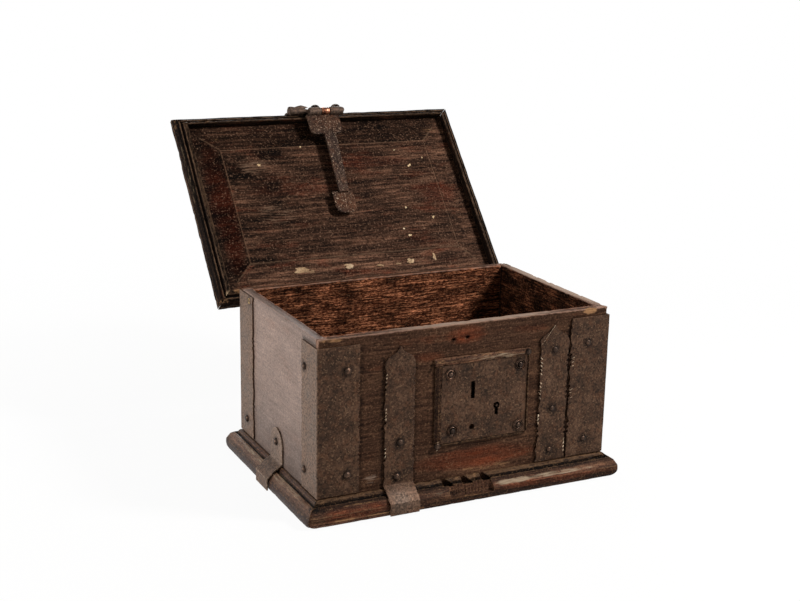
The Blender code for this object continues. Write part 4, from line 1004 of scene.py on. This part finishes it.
addedNails = {  # body, seed, size, the way they look, and places
    "right_end_nails": ("body", 30, "dome", rightward, [(endIron, y, z) for y, z in rightPlaces]),
    "back_iron_nails": ("body", 40, "dome", rearward,
                        [(x, backIron, z) for x in (-164, 164) for z in (184, 48)]),
    "hinge_back_nails": ("body", 50, "leaf", rearward,
                         [(x, 133.6, z) for x in (-120, 120) for z in (132, 152, 172)]),
    "hasp_strap_nails": ("lid", 60, "strap", forward, [(x, -154.6, 211.5) for x in (-2, 31)]),
    "lid_leaf_nails": ("lid", 70, "leaf", upward,
                       [(x, y, lidIron) for x in (-120, 120) for y in (132, 112, 92)]),
    "hasp_strap_top_nails": ("lid", 80, "strapTop", upward,
                             [(x, y, lidIron) for x in (-30, 18) for y in (-98, -130)]),
}
for name, (body, seed, size, outward, places) in addedNails.items():
    heads = [(place, outward, *headSize[size]) for place in places]
    iron = pittedIronHasp if size == "strap" else hammeredNailIron
    nailHeads(name, heads, body, seed=seed, place=lidOpen if body == "lid" else standing, mat=iron)
frameNails = [((82, -134.8, 174.5), forward, 4.2, 3), ((-43, -134.8, 67.5), forward, 4.6, 2.6)]
nailHeads("frame_nails", frameNails, "body", seed=66)

# The hasp's hinge: knuckles rolled from the strap, a copper sleeve between, the strap's end rolled beside it
hinge = {"y": -140.5, "z": 198, "bore": 4.1, "knuckles": ((-18.9, 18), (13.7, 20.8)), "sleeveFrom": 0.5}


def turnedPiece(name, parts, mat, body, place=standing, wobble=0.1, ring=True):
    bm = bmesh.new()
    for profile, centre, outward, seed in parts:
        turn(bm, profile, centre, outward, seed, wobble, ring=ring)
    setPiece(name, bm, mat, body, place=place)


knuckles = []
for number, (x, long) in enumerate(hinge["knuckles"]):
    rolled = [(5.2, 0), (6.2, 0.9), (6.4, 0.3 * long), (6.0, 0.55 * long), (6.4, 0.75 * long),
              (6.1, long - 0.9), (5.2, long), (hinge["bore"], long), (hinge["bore"], 0)]
    knuckles.append((rolled, (x, hinge["y"], hinge["z"]), rightward, number))
turnedPiece("hasp_hinge_knuckles", knuckles, rustedIronLap, "lid", lidOpen)
sleeve = [(5.0, 0.2), (5.6, 1.6), (5.8, 6), (5.6, 10.6), (5.0, 12.2), (hinge["bore"], 12.3),
          (hinge["bore"], 0.1)]
sleeveStart = lidOpen @ (Vector((hinge["sleeveFrom"], hinge["y"], hinge["z"])) * mm)
sleeveParts = [(sleeve, standing.inverted() @ sleeveStart / mm, rightward, 7)]
turnedPiece("hasp_hinge_sleeve", sleeveParts, copperRub, "hasp", wobble=0.08)
strapEnd = [(0, 0), (3.6, 0.3), (6.4, 2.4), (7.4, 6), (6.2, 11), (6.8, 16), (7.2, 21), (6, 25), (4, 27)]
strapRoll = [(strapEnd, (-46, -151, 211), rightward, 3)]
turnedPiece("hasp_strap_roll", strapRoll, rustedIronLap, "lid", lidOpen, 0.3, False)
struck = [((-27, -133.1, 103), 5.4), ((92, -130.9, 80), 5.6), ((92, -130.9, 80), 3.2)]  # round lost nails
ringMarks = []
for number, (centre, r) in enumerate(struck):
    burr = [(r, 0.4), (r + 0.8, 0.3), (r + 0.9, -0.4), (r - 0.6, -0.4)]
    ringMarks.append((burr, centre, forward, number))
turnedPiece("nail_ring_marks", ringMarks, brownedIronPlate, "body")
x, y, z = middleOf("nail_back_iron_upper")
eyelet = [([(2.4, 0.2), (3.2, 0.35), (4.1, 0.2), (4.2, -0.6), (2.3, -0.6)], (-202.3, y, z), leftward, 5)]
turnedPiece("rear_iron_eyelet", eyelet, brassTurned, "body", wobble=0.05)
for solid in frame["nodes"].values():  # pins, staple, stud and lock parts keep their shape
    if not solid.hide_render:
        solid.material_slots[0].material = hammeredNailIron
print("nails driven")

# Plaster flecks and bare chips on the lid, bright burrs where the straps' edges were hammered
plasterLook = dict(  # chalky, with no shine at all
    plateLook, oxide=[(0.32, "#b99870"), (0.5, "#d6ba90"), (0.68, "#e6d2b0")], rust="#c09a6e", speckShare=0.2,
    pitDark=0.7, metallic=0.0, rough=(0.75, 0.9), bump=0.4)
plasterFleck = brownedIron("lime_plaster_fleck", plasterLook)
lidFlecks = [  # x and y on the shut lid, and half the length and width
    (-111, -65, 4, 3.2), (125, -50, 5, 2.6), (97, 22, 2.6, 2.2), (136, 42, 4, 3), (83, 57, 2.2, 1.8),
    (89, 69, 4, 3), (40, -100, 2.4, 1.6), (-40, -92, 2, 1.6), (150, -62, 2.4, 1.8), (108, -78, 2.2, 1.4),
]
fleckPlaces = [((x, y, 216.6 if abs(y) < 94 else 219.6), a, b, 0.25, x) for x, y, a, b in lidFlecks]
flakes("lid_plaster_flecks", fleckPlaces, (0, 0, -1), plasterFleck, "lid", 3, lidOpen)
bareOakChip = brownedIron(  # raw wood where the stain broke away: tan and matt
    "bare_oak_chip", plasterLook, oxide=[(0.32, "#7d6046"), (0.5, "#a58664"), (0.68, "#c4a888")],
    rust="#8a6a4a", pitDark=0.5)
bareChips = [
    (-89, 109, 16, 6.4), (-18, 109, 10, 5.4), (78, 109.5, 8, 4.6), (30, 112, 8, 2.5), (118, 107, 3, 8),
    (-75, 112, 8, 3), (60, 112, 6, 2),
]
bevel = {"foot": 93, "rise": 3.8 / 24, "field": 216.5}  # the back bevel, where the chips came off
chipPlaces = []
for x, y, long, wide in bareChips:
    height = bevel["field"] + bevel["rise"] * (y - bevel["foot"]) - 0.1
    chipPlaces.append(((x, y, height), long, wide, 0.15, x % 24 - 12))
bevelOut = Vector((0, bevel["rise"], -1)).normalized()
flakes("lid_bare_chips", chipPlaces, bevelOut, bareOakChip, "lid", 5, lidOpen)
brightBurrIron = brownedIron(  # iron bared by the hammer, pale against the brown
    "wrought_iron_bright_burr", plateLook, oxide=[(0.32, "#86705c"), (0.5, "#b39a80"), (0.68, "#dcc8ad")],
    metallic=0.6, rough=(0.35, 0.5))
lockBurr = -42
burrRuns = [  # x, highest and lowest z, step, half length, half width, lean in degrees
    (-112.0, 168, 154, 5, 2.4, 1.0, 60), (-112.2, 124, 110, 4, 2.6, 1.1, 75),
    (-112.4, 74, 62, 5, 2.2, 0.9, 60), (103.6, 162, 142, 5, 3.4, 0.9, -42),
    (103.4, 130, 110, 5, 3.4, 0.9, -48), (102.4, 86, 76, 5, 3.4, 1.3, 84), (150, 158, 142, 5.4, 3.6, 0.8, 16),
    (149.5, 116, 104, 5.4, 3.4, 0.8, 20), (141.5, 50, 34, 5, 3.0, 1.0, 70),
    (lockBurr, 73, 62, 4, 3.2, 1.1, 30),
]
slivers = []
for x, top, foot, step, long, wide, lean in burrRuns:
    out = -135.2 if x == lockBurr else frontIron  # the lock's frame stands further out
    for i in range(int((top - foot) / step) + 1):
        odd = noise.noise(Vector((x, i * 1.7, 3)))
        centre = (x + 1.2 * odd, out, top - step * (i + 0.4 * odd))
        slivers.append((centre, long * (1 + 0.5 * odd), wide, 0.35, lean + 30 * odd))
for i in range(7):  # up the ogee of the right strap
    odd = noise.noise(Vector((7, i * 1.7, 3)))
    slivers.append(((103.5 + 2.7 * i, frontIron, 182 + 3.4 * i), 2.8 + odd, 0.7, 0.35, 52 + 14 * odd))
flakes("strap_edge_burrs", slivers, forward, brightBurrIron, "body", 9)
print("flecks and burrs laid")
